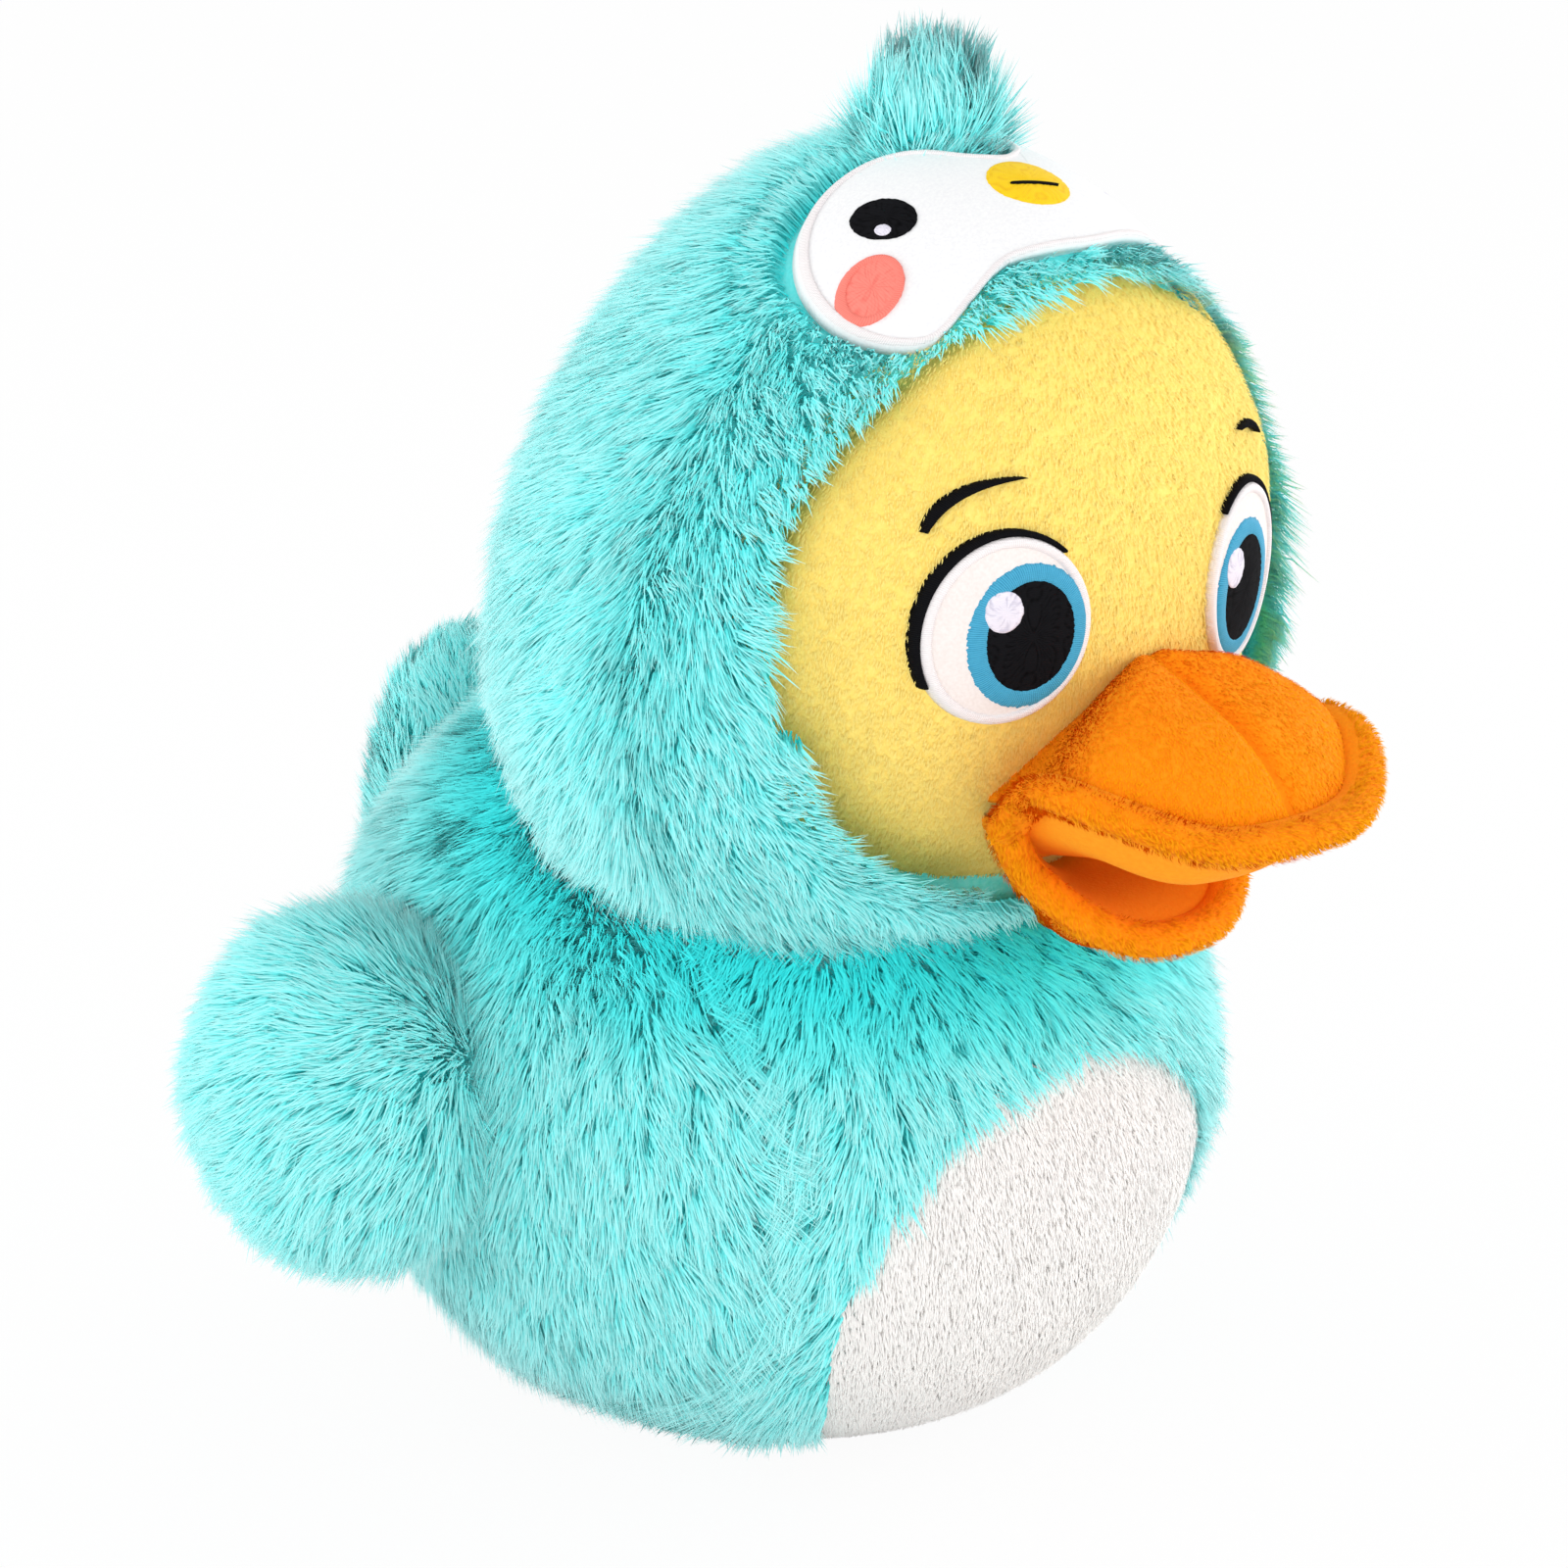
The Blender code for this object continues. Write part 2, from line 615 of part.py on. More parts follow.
def build_tail(shop, body_seat):
    """Upturned tail: a furry cover and its filling."""
    inner_share = 1 - TAIL_FUR_DEPTH / TAIL_HALF_THICKNESS
    filling_share = inner_share - GAP / TAIL_HALF_THICKNESS
    inside = shop.form("tail_inside", tail_shape, SMALL_INNER_MESH, share=inner_share)
    cover = shop.form("tail_cover", tail_shape, TAIL_MESH, 0, "aqua_fur", "tail_joint")
    cut(cover, inside, body_seat)
    filling = shop.form("tail_filling", tail_shape, SMALL_INNER_MESH, 0,
                        "filling", "tail_joint", filling_share)
    cut(filling, body_seat)


def build_wing(shop, side, shape, body_seat):
    """One wing: a furry cover and its filling."""
    joint = side + "_wing_joint"
    inside = shop.form(side + "_wing_inside", shape, SMALL_INNER_MESH, -WING_FUR_DEPTH)
    cover = shop.form(side + "_wing_cover", shape, WING_MESH, 0, "aqua_fur", joint)
    cut(cover, inside, body_seat)
    filling = shop.form(side + "_wing_filling", shape, SMALL_INNER_MESH, -WING_FUR_DEPTH - GAP,
                        "filling", joint)
    cut(filling, body_seat)


def build_head(shop, neck_seats):
    """Yellow plush head cover and its filling."""
    inside = shop.form("head_inside", head_shape, HEAD_INNER_MESH, -PLUSH_THICKNESS)
    cover = shop.form("head_cover", head_shape, HEAD_MESH, 0, "yellow_plush", "neck_joint")
    cut(cover, inside, *neck_seats)
    filling_seat = shop.form("head_filling_seat", body_shape, BODY_INNER_MESH, PLUSH_THICKNESS * 2)
    filling = shop.form("head_filling", head_shape, HEAD_INNER_MESH, -PLUSH_THICKNESS - GAP,
                        "filling", "neck_joint")
    cut(filling, filling_seat)


def face_opening(shop, name, grow, swing):
    """The prism of the hood's face opening, reaching forward from inside the head."""
    reach = HOOD_HALF_LENGTH + OVERRUN
    line = egg_outline(FACE_OPENING_HALF_WIDTH, FACE_OPENING_RISE, FACE_OPENING_DROP, grow)
    frame = facing_front(0, HOOD_MIDDLE_Z - FACE_OPENING_BELOW_MIDDLE,
                         HOOD_MIDDLE_Y - FACE_OPENING_DEPTH - reach / 2)
    return shop.outline(name, line, reach, swing @ frame)


def build_hood(shop, neck_seats):
    """Furry hood round the head, with its face opening, its patch and its tuft."""
    head_seat = shop.form("hood_hollow", head_shape, HEAD_MESH, GAP)
    opening = face_opening(shop, "face_opening", 0, Matrix.Identity(4))
    recess = shop.outline("patch_recess", patch_outline(GAP), OVERRUN, facing_patch(0, 0))
    recess_floor = shop.form("patch_recess_floor", hood_shape, HOOD_MESH,
                             -PATCH_RECESS - PATCH_THICKNESS - GAP)
    cut(recess, recess_floor)
    hood = shop.form("hood_cover", hood_shape, HOOD_MESH, 0, "aqua_fur", "neck_joint")
    cut(hood, head_seat, opening, *neck_seats, recess)

    patch_top = shop.form("patch_top", hood_shape, HOOD_MESH, -PATCH_RECESS)
    patch_under = shop.form("patch_under", hood_shape, HOOD_MESH, -PATCH_RECESS - PATCH_THICKNESS)
    patch = shop.outline("hood_patch", patch_outline(), OVERRUN, facing_patch(0, 0),
                         "white_plush", "neck_joint")
    cut(patch, patch_top, keep=True)
    cut(patch, patch_under)

    tuft_seat = shop.form("tuft_seat", hood_shape, HOOD_MESH, GAP)
    tuft = shop.form("hood_tuft", tuft_shape, TUFT_MESH, 0, "aqua_fur", "neck_joint")
    cut(tuft, tuft_seat)


def build_patch_stitching(shop):
    """The eyes, cheeks and small bill sewn on the hood patch."""
    lift = -PATCH_RECESS + GAP
    under = shop.form("stitch_under", hood_shape, HOOD_MESH, lift)
    top = shop.form("stitch_top", hood_shape, HOOD_MESH, lift + STITCH_THICKNESS)

    def sewn(name, half_x, half_y, across, up, finish, turn=0.0, hole=None):
        piece = shop.oval(name, half_x, half_y, OVERRUN, facing_patch(across, up, turn),
                          finish, "neck_joint", sides=16)
        cut(piece, top, keep=True)
        cut(piece, under)
        if hole is not None:
            cut(piece, hole)

    for side, sign in (("right", -1), ("left", 1)):
        across = sign * PATCH_EYE_ACROSS
        glint_up = PATCH_EYE_RISE - PATCH_GLINT_DROP
        hole = shop.oval("patch_glint_hole_" + side, PATCH_GLINT_HALF_WIDTH + GAP,
                         PATCH_GLINT_HALF_HEIGHT + GAP, OVERRUN, facing_patch(across, glint_up), sides=16)
        sewn(f"patch_{side}_eye", PATCH_EYE_HALF_WIDTH, PATCH_EYE_HALF_HEIGHT, across, PATCH_EYE_RISE,
             "black_thread", 0, hole)
        sewn(f"patch_{side}_glint", PATCH_GLINT_HALF_WIDTH, PATCH_GLINT_HALF_HEIGHT, across, glint_up,
             "white_thread")
        sewn(f"patch_{side}_cheek", PATCH_CHEEK_HALF_WIDTH, PATCH_CHEEK_HALF_HEIGHT,
             sign * PATCH_CHEEK_ACROSS, -PATCH_CHEEK_DROP, "pink_thread", sign * PATCH_CHEEK_TURN)
    line_hole = shop.oval("patch_mouth_hole", PATCH_MOUTH_HALF_LENGTH + GAP, PATCH_MOUTH_HALF_HEIGHT + GAP,
                          OVERRUN, facing_patch(0, -PATCH_BILL_DROP, PATCH_BILL_TURN), sides=16)
    sewn("patch_bill", PATCH_BILL_HALF_WIDTH, PATCH_BILL_HALF_HEIGHT, 0, -PATCH_BILL_DROP,
         "gold_thread", PATCH_BILL_TURN, line_hole)
    sewn("patch_mouth_line", PATCH_MOUTH_HALF_LENGTH, PATCH_MOUTH_HALF_HEIGHT, 0, -PATCH_BILL_DROP,
         "black_thread", PATCH_BILL_TURN)


def build_eyes(shop):
    """White, iris, pupil, glint, lash and brow of each eye, sewn side by side on the face."""
    under = shop.form("eye_under", head_shape, HEAD_MESH, GAP)
    top = shop.form("eye_top", head_shape, HEAD_MESH, GAP + STITCH_THICKNESS)
    height = HEAD_MIDDLE_Z - EYE_BELOW_MIDDLE
    depth = HEAD_HALF_LENGTH + OVERRUN
    middle_y = HEAD_MIDDLE_Y - depth / 2

    def oval(name, half_x, half_z, x, z, finish=None, grow=0.0, sides=24):
        return shop.oval(name, half_x + grow, half_z + grow, depth, facing_front(x, z, middle_y),
                         finish, "neck_joint" if finish else None, sides)

    def sew(piece, *holes):
        cut(piece, top, keep=True)
        cut(piece, under, *holes)

    for side, sign, shift in (("right", -1, GLINT_SHIFT_RIGHT_EYE), ("left", 1, GLINT_SHIFT_LEFT_EYE)):
        eye_x = sign * EYE_ACROSS
        iris_x = eye_x - sign * IRIS_INSET
        glint_x = iris_x - shift
        glint_z = height + GLINT_RISE
        iris_hole = oval(side + "_iris_hole", IRIS_HALF_WIDTH, IRIS_HALF_HEIGHT, iris_x, height, None, GAP)
        pupil_hole = oval(side + "_pupil_hole", PUPIL_HALF_WIDTH, PUPIL_HALF_HEIGHT, iris_x, height,
                          None, GAP)
        glint_hole = oval(side + "_glint_hole", GLINT_RADIUS, GLINT_RADIUS, glint_x, glint_z, None, GAP, 16)
        sew(oval(side + "_eye_white", EYE_HALF_WIDTH, EYE_HALF_HEIGHT, eye_x, height, "white_thread"),
            iris_hole)
        sew(oval(side + "_iris", IRIS_HALF_WIDTH, IRIS_HALF_HEIGHT, iris_x, height, "blue_thread"),
            pupil_hole, glint_hole)
        sew(oval(side + "_pupil", PUPIL_HALF_WIDTH, PUPIL_HALF_HEIGHT, iris_x, height, "black_thread"),
            glint_hole)
        sew(oval(side + "_glint", GLINT_RADIUS, GLINT_RADIUS, glint_x, glint_z, "white_thread", 0, 16))

        lash = band_outline(EYE_HALF_WIDTH + GAP * 2, EYE_HALF_HEIGHT + GAP * 2,
                            LASH_START, LASH_END, LASH_THICKNESS)
        lash = [(x if sign < 0 else -x, z) for x, z in lash]
        sew(shop.outline(side + "_lash", lash, depth, facing_front(eye_x, height, middle_y),
                         "black_thread", "neck_joint"))
        brow = band_outline(BROW_HALF_WIDTH, BROW_ARCH, BROW_START, BROW_END, BROW_THICKNESS)
        sew(shop.outline(side + "_brow", brow, depth,
                         facing_front(eye_x + sign * BROW_SHIFT, height + BROW_RISE, middle_y,
                                      sign * BROW_TURN),
                         "black_thread", "neck_joint"))


def build_bill(shop, prefix, shape, lip_radius, heights, inward_share, face_seat, joint, stops=()):
    """One half of the bill: cover, lining, filling and rolled lip, lined on its mouth side."""
    inner_share = 1 - PLUSH_THICKNESS / max(heights)
    filling_share = inner_share - GAP / min(heights)
    inside = shop.form(prefix + "_bill_inside", shape, BILL_INNER_MESH, share=inner_share)
    rim = rim_points(shape)
    lip_seat = shop.tube(prefix + "_lip_seat", rim, lip_radius + GAP)
    seam = math.copysign(SEAM_SHARE, inward_share)
    mouth_side = shop.slab(prefix + "_mouth_side", shape, *sorted((seam, inward_share)))
    cover_side = shop.slab(prefix + "_cover_side", shape, *sorted((-seam, inward_share)))

    cover = shop.form(prefix + "_bill_cover", shape, BILL_MESH, 0, "orange_plush", joint)
    cut(cover, *stops, face_seat, inside, cover_side, lip_seat)
    lining = shop.form(prefix + "_bill_lining", shape, BILL_MESH, 0, "orange_lining", joint)
    cut(lining, mouth_side, keep=True)
    cut(lining, *stops, face_seat, inside, lip_seat)
    filling = shop.form(prefix + "_bill_filling", shape, BILL_INNER_MESH, 0, "filling", joint, filling_share)
    cut(filling, *stops, face_seat, lip_seat)
    lip = shop.tube(prefix + "_bill_lip", rim, lip_radius, "orange_plush", joint)
    cut(lip, *stops, face_seat)
    return rim


def build_bills(shop, face_seat):
    """Both halves of the bill, the lower one clear of the upper one and the hood while it closes."""
    rim = build_bill(shop, "upper", upper_bill_shape, UPPER_LIP_RADIUS,
                     (UPPER_DOME_RISE, UPPER_LINING_DROP), -UPPER_DEPTH_SHARE, face_seat, "neck_joint")
    stops = []
    for step in range(3):
        swing = swing_about(BILL_HINGE, BILL_CLOSING * step / 2, "X")
        hood = shop.form(f"closing_hood_{step}", swung(hood_shape, swing), HOOD_MESH, GAP)
        cut(hood, face_opening(shop, f"closing_opening_{step}", -GAP, swing))
        lip = shop.tube(f"closing_lip_{step}", [swing @ point for point in rim], UPPER_LIP_RADIUS + GAP)
        dome = shop.form(f"closing_dome_{step}", swung(upper_bill_shape, swing), BILL_MESH,
                         share=1 + GAP / UPPER_LINING_DROP)
        stops += [hood, lip, dome]
    build_bill(shop, "lower", lower_bill_shape, LOWER_LIP_RADIUS, (LOWER_TOP_RISE, LOWER_BELLY_DROP),
               LOWER_DEPTH_SHARE, face_seat, "bill_joint", stops)


def main():
    """Build the duck."""
    clear_scene()
    shop = Workshop()
    shop.joint("neck_joint", NECK_POINT)
    shop.joint("bill_joint", BILL_HINGE)
    shop.joint("tail_joint", TAIL_HINGE)
    wing_root = Vector((BODY_HALF_WIDTH - WING_FUR_DEPTH, WING_MIDDLE_Y, WING_MIDDLE_Z + WING_HALF_HEIGHT))
    shop.joint("left_wing_joint", wing_root)
    shop.joint("right_wing_joint", Vector((-wing_root.x, wing_root.y, wing_root.z)))

    body_seat = shop.form("body_seat", body_shape, BODY_MESH, GAP)
    neck_seats = []
    for way in (0, 1, -1):
        swing = swing_about(NECK_POINT, way * NECK_TURN, NECK_AXIS)
        neck_seats.append(shop.form(f"neck_seat_{way}", swung(body_shape, swing), BODY_MESH, NECK_GAP))
    face_seat = shop.form("face_seat", head_shape, HEAD_MESH, GAP)
    build_body(shop)
    build_tail(shop, body_seat)
    build_wing(shop, "right", wing_shape, body_seat)
    build_wing(shop, "left", mirrored(wing_shape), body_seat)
    build_head(shop, neck_seats)
    build_hood(shop, neck_seats)
    build_patch_stitching(shop)
    build_eyes(shop)
    build_bills(shop, face_seat)


main()
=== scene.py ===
"""Looks of a plush duck in a furry bird hood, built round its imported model.

Metres, +Z up. The duck faces -Y and its own right side is -X.
"""

import logging
import math
from dataclasses import dataclass, field, replace
from enum import Enum
from typing import Callable, Iterable, Optional, Sequence

import bpy
import numpy as np
from mathutils import Matrix, Vector


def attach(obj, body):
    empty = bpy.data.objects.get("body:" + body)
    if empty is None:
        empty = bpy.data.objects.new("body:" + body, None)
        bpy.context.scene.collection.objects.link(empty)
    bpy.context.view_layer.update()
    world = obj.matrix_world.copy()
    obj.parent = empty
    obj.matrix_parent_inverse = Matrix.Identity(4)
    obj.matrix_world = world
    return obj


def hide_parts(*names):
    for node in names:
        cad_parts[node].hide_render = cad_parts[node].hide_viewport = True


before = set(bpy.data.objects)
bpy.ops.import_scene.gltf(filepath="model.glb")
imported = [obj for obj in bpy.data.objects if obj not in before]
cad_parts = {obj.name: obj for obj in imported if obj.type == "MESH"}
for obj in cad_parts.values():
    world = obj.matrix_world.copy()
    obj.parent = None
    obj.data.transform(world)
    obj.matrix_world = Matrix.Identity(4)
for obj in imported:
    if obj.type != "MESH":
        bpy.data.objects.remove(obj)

LOG = logging.getLogger("plush_duck")
Array = np.ndarray
Colour = tuple[float, float, float]
Pair = tuple[float, float]
Triple = tuple[float, float, float]
Face = tuple[int, ...]
Socket = bpy.types.NodeSocket
UP = np.array((0.0, 0.0, 1.0))
STEP = 1e-3
TINY = 1e-6


class Slot(Enum):
    """Material slots of the record."""

    AQUA_FUR = "aqua_fur"
    WHITE_PLUSH = "white_plush"
    AQUA_BASE = "aqua_base"
    FILLING = "filling"
    PELLETS = "pellets"
    YELLOW_PLUSH = "yellow_plush"
    ORANGE_PLUSH = "orange_plush"
    ORANGE_LINING = "orange_lining"
    WHITE_THREAD = "white_thread"
    BLUE_THREAD = "blue_thread"
    BLACK_THREAD = "black_thread"
    PINK_THREAD = "pink_thread"
    GOLD_THREAD = "gold_thread"


class Side(Enum):
    """The duck's own sides, as the sign of X."""

    RIGHT = -1
    LEFT = 1

    @property
    def word(self) -> str:
        """The side's name, for a piece's name."""
        return self.name.lower()


# Materials


def linear(value: int) -> float:
    """One screen channel, from 0 to 255, as linear light."""
    share = value / 255
    return share / 12.92 if share <= 0.04045 else ((share + 0.055) / 1.055) ** 2.4


def srgb(red: int, green: int, blue: int) -> Colour:
    """A screen colour as linear light."""
    return linear(red), linear(green), linear(blue)


class NodeSheet:
    """A node tree, with short calls to add and join nodes."""

    def __init__(self, tree: bpy.types.NodeTree) -> None:
        """Keep the tree."""
        self.tree = tree

    def add(self, kind: str, sockets: Optional[dict[str | int, object]] = None,
            **values: object) -> bpy.types.Node:
        """Add a node, set its properties and fill its inputs.

        Args:
            kind: Blender's node type.
            sockets: What goes into its inputs: a value, or an output to join.
            values: Properties by name.

        Returns:
            The node.
        """
        node = self.tree.nodes.new(kind)
        for key, value in values.items():
            setattr(node, key, value)
        for key, value in (sockets or {}).items():
            if isinstance(value, Socket):
                self.tree.links.new(value, node.inputs[key])
            else:
                node.inputs[key].default_value = value
        return node


class Paint(NodeSheet):
    """A Principled material."""

    def __init__(self, name: str, roughness: float, sheen: float = 0.0, specular: float = 0.2) -> None:
        """Start the material.

        Args:
            name: The material's name.
            roughness: Roughness on the shader.
            sheen: Sheen weight on the shader.
            specular: Specular level on the shader.
        """
        self.material = bpy.data.materials.new(name)
        self.material.use_nodes = True
        super().__init__(self.material.node_tree)
        self.inputs = self.tree.nodes["Principled BSDF"].inputs
        for socket, value in (("Roughness", roughness), ("Sheen Weight", sheen), ("Sheen Roughness", 0.4),
                              ("Specular IOR Level", specular)):
            self.inputs[socket].default_value = value

    def colour(self, output: Socket) -> None:
        """Join an output to the base colour."""
        self.tree.links.new(output, self.inputs["Base Color"])

    def ramp(self, factor: Socket, *stops: tuple[float, Colour]) -> Socket:
        """A colour ramp.

        Args:
            factor: What drives it.
            stops: Places and colours.

        Returns:
            The colour.
        """
        node = self.add("ShaderNodeValToRGB", {"Fac": factor})
        elements = node.color_ramp.elements
        while len(elements) < len(stops):
            elements.new(1.0)
        for element, (place, colour) in zip(elements, stops):
            element.position = place
            element.color = (*colour, 1)
        return node.outputs["Color"]

    def own_place(self) -> Socket:
        """The piece's own coordinates."""
        return self.add("ShaderNodeTexCoord").outputs["Object"]

    def noise(self, scale: float, detail: float = 3.0) -> Socket:
        """Noise of a scale per metre, with a number of octaves."""
        sockets = {"Scale": scale, "Detail": detail, "Vector": self.own_place()}
        return self.add("ShaderNodeTexNoise", sockets).outputs["Fac"]

    def threads(self, direction: str, pitch: float, distortion: float) -> Socket:
        """Bands that repeat every pitch metres along an axis."""
        sockets = {"Scale": math.tau / (20 * pitch), "Distortion": distortion, "Vector": self.own_place()}
        return self.add("ShaderNodeTexWave", sockets, bands_direction=direction).outputs["Fac"]

    def map_axes(self, name: str) -> bpy.types.NodeOutputs:
        """The separate axes of one of the piece's own maps."""
        place = self.add("ShaderNodeUVMap", uv_map=name)
        return self.add("ShaderNodeSeparateXYZ", {"Vector": place.outputs["UV"]}).outputs

    def bump(self, height: Socket, strength: float, distance: float) -> None:
        """Bump from a height, its distance in metres."""
        node = self.add("ShaderNodeBump", {"Strength": strength, "Distance": distance, "Height": height})
        self.tree.links.new(node.outputs["Normal"], self.inputs["Normal"])


@dataclass(frozen=True)
class Finish:
    """What every finish has."""

    name: str
    slot: Slot
    low: Colour
    high: Colour

    def material(self) -> bpy.types.Material:
        """Build the material."""
        raise NotImplementedError


@dataclass(frozen=True)
class PileFinish(Finish):
    """A pile's colour from its darker roots to its paler tips, which is painted shade deep in the pile and
    painted light at its surface, with a deeper kind of strand.
    """

    tip: Colour = (1.0, 1.0, 1.0)
    tone_depth: float = 0.04
    sheen: float = 0.0

    def material(self) -> bpy.types.Material:
        """Build the material, which reads tone and height from the strand's own map.

        Returns:
            The material.
        """
        sheet = Paint(self.name, 0.9, self.sheen, 0.05)
        axes = sheet.map_axes("OFBake")
        # Darker at the roots and paler at the tips: painted shade and painted light through the pile.
        along = sheet.ramp(axes["Y"], (0.0, self.low), (0.45, self.high), (1.0, self.tip))
        shade = sheet.ramp(axes["X"], (0.0, (1 - self.tone_depth,) * 3), (1.0, (1.0,) * 3))
        mix = sheet.add("ShaderNodeMix", {"Factor": 1.0, "A": along, "B": shade}, data_type="RGBA",
                        blend_type="MULTIPLY")
        sheet.colour(mix.outputs["Result"])
        return sheet.material


@dataclass(frozen=True)
class ClothFinish(Finish):
    """A short-napped cloth: two close colours in fine noise, with a fine bump."""

    grain: float = 900.0
    sheen: float = 0.3
    bump: float = 0.00025

    def material(self) -> bpy.types.Material:
        """Build the material.

        Returns:
            The material.
        """
        sheet = Paint(self.name, 0.9, self.sheen)
        sheet.colour(sheet.ramp(sheet.noise(self.grain), (0.3, self.low), (0.7, self.high)))
        sheet.bump(sheet.noise(self.grain * 1.7, 4.0), 0.6, self.bump)
        return sheet.material


@dataclass(frozen=True)
class WeaveFinish(Finish):
    """Plain-woven cloth: two crossed sets of threads, its colour darker in the hollows between them, which
    is painted shade.
    """

    pitch: float = 0.0008

    def material(self) -> bpy.types.Material:
        """Build the material.

        Returns:
            The material.
        """
        sheet = Paint(self.name, 0.85, 0.1)
        crossed = {index: sheet.threads(direction, self.pitch, 0.6) for index, direction in enumerate("XY")}
        both = sheet.add("ShaderNodeMath", crossed, operation="MULTIPLY").outputs["Value"]
        # Darker where the threads lie low and lighter where they cross: painted shade in the weave's
        # hollows.
        sheet.colour(sheet.ramp(both, (0.0, self.low), (1.0, self.high)))
        sheet.bump(both, 0.5, 0.0002)
        return sheet.material


@dataclass(frozen=True)
class ThreadFinish(Finish):
    """Embroidery thread, whose stitches are ridges in the mesh and whose colour is darker in the grooves
    between them, which is painted shade.
    """

    roughness: float = 0.6
    specular: float = 0.2
    sheen: float = 0.05
    pitch: float = 0.00045
    direction: str = "Z"

    def material(self) -> bpy.types.Material:
        """Build the material, which reads the ridge's height from the piece's stitch map.

        Returns:
            The material.
        """
        sheet = Paint(self.name, self.roughness, self.sheen, self.specular)
        ridge = sheet.map_axes("stitch")["X"]
        # Random mottle plus the ridge's height: darker in the grooves between stitches, which is painted
        # shade.
        mottle_and_groove_shade = sheet.add("ShaderNodeMath", {0: sheet.noise(700.0, 2.0), 1: 0.6, 2: ridge},
                           operation="MULTIPLY_ADD")
        sheet.colour(sheet.ramp(mottle_and_groove_shade.outputs["Value"], (0.2, self.low), (1.0, self.high)))
        sheet.bump(sheet.threads(self.direction, self.pitch, 1.2), 0.35, 0.00015)
        return sheet.material


# Each pile runs from a darker root colour to a paler tip colour: painted shade deep in the pile and painted
# light at its surface.
AQUA_PILE = PileFinish("aqua_long_pile", Slot.AQUA_FUR, srgb(28, 250, 252), srgb(116, 254, 254),
                       srgb(196, 255, 254), sheen=0.7)
WHITE_PILE = PileFinish("white_pile", Slot.WHITE_PLUSH, srgb(252, 249, 246), srgb(254, 251, 248),
                        srgb(254, 252, 250), 0.03)
YELLOW_PILE = PileFinish("yellow_nap", Slot.YELLOW_PLUSH, srgb(253, 222, 112), srgb(254, 230, 128),
                         srgb(254, 236, 146))
ORANGE_PILE = PileFinish("orange_pile", Slot.ORANGE_PLUSH, srgb(254, 148, 6), srgb(254, 158, 10),
                         srgb(255, 168, 20))
# The backing is lighter than the fur's roots, so the gaps between strands and the folds read lighter:
# painted light.
AQUA_BACKING = ClothFinish("aqua_backing", Slot.AQUA_FUR, srgb(104, 250, 250), srgb(132, 254, 254))
WHITE_BACKING = ClothFinish("white_backing", Slot.WHITE_PLUSH, srgb(238, 234, 230), srgb(250, 248, 246))
WHITE_VELOUR = ClothFinish("white_velour", Slot.WHITE_PLUSH, srgb(236, 236, 238), srgb(244, 244, 244),
                           1600.0, 0.1, 0.00008)
YELLOW_BACKING = ClothFinish("yellow_backing", Slot.YELLOW_PLUSH, srgb(252, 220, 110), srgb(254, 230, 126),
                             sheen=0.1)
ORANGE_BACKING = ClothFinish("orange_backing", Slot.ORANGE_PLUSH, srgb(252, 142, 4), srgb(254, 152, 8),
                             sheen=0.0)
LINING_BACKING = ClothFinish("lining_backing", Slot.ORANGE_LINING, srgb(253, 152, 22), srgb(254, 160, 28),
                             sheen=0.0)
AQUA_WEAVE = WeaveFinish("aqua_weave", Slot.AQUA_BASE, srgb(60, 176, 178), srgb(110, 216, 216))
FIBRE_FILL = ClothFinish("fibre_filling", Slot.FILLING, srgb(226, 226, 222), srgb(246, 246, 244), 300.0)
PELLET_CLOTH = WeaveFinish("pellet_bag_cloth", Slot.PELLETS, srgb(150, 150, 156), srgb(200, 200, 206))
WHITE_THREAD = ThreadFinish("white_thread", Slot.WHITE_THREAD, srgb(224, 216, 218), srgb(243, 238, 238))
EYE_CLOTH = ClothFinish("eye_white_cloth", Slot.WHITE_THREAD, srgb(232, 224, 220), srgb(240, 234, 231),
                        1500.0, 0.05, 0.00005)
LILAC_THREAD = ThreadFinish("lilac_white_thread", Slot.WHITE_THREAD, srgb(190, 186, 206),
                            srgb(232, 228, 240))
BLUE_THREAD = ThreadFinish("blue_thread", Slot.BLUE_THREAD, srgb(34, 124, 164), srgb(74, 170, 206))
BLACK_THREAD = ThreadFinish("black_thread", Slot.BLACK_THREAD, srgb(3, 3, 4), srgb(20, 20, 23),
                            0.8, 0.04, 0.0)
PINK_THREAD = ThreadFinish("pink_thread", Slot.PINK_THREAD, srgb(236, 112, 100), srgb(246, 136, 122),
                           direction="X")
GOLD_THREAD = ThreadFinish("gold_thread", Slot.GOLD_THREAD, srgb(238, 184, 0), srgb(250, 208, 14),
                           direction="X")


# Smooth fields


def columns(*parts: Array | float) -> Array:
    """Rows of vectors from their columns, a lone number standing for a whole column."""
    return np.stack(np.broadcast_arrays(*parts), axis=1)


def unit(vectors: Array) -> Array:
    """Rows of vectors at length one."""
    return vectors / np.maximum(np.linalg.norm(vectors, axis=-1, keepdims=True), 1e-12)


def ease(value: Array) -> Array:
    """Ease from 0 to 1."""
    value = np.clip(value, 0.0, 1.0)
    return value * value * (3 - 2 * value)


def rising(value: Array, start: float, width: float) -> Array:
    """Ease from 0 at a start to 1 a width further on."""
    return ease((value - start) / width)


def falling(value: Array, end: Array | float, width: float) -> Array:
    """Ease from 1 a width before an end to 0 at the end."""
    return ease((end - value) / width)


def hill(value: Array, width: float) -> Array:
    """A smooth hill of height one round zero."""
    return np.exp(-(value / width) ** 2)


def along(vectors: Array, normals: Array) -> Array:
    """Vectors without their share along a surface's normals."""
    return vectors - normals * np.sum(vectors * normals, axis=1, keepdims=True)


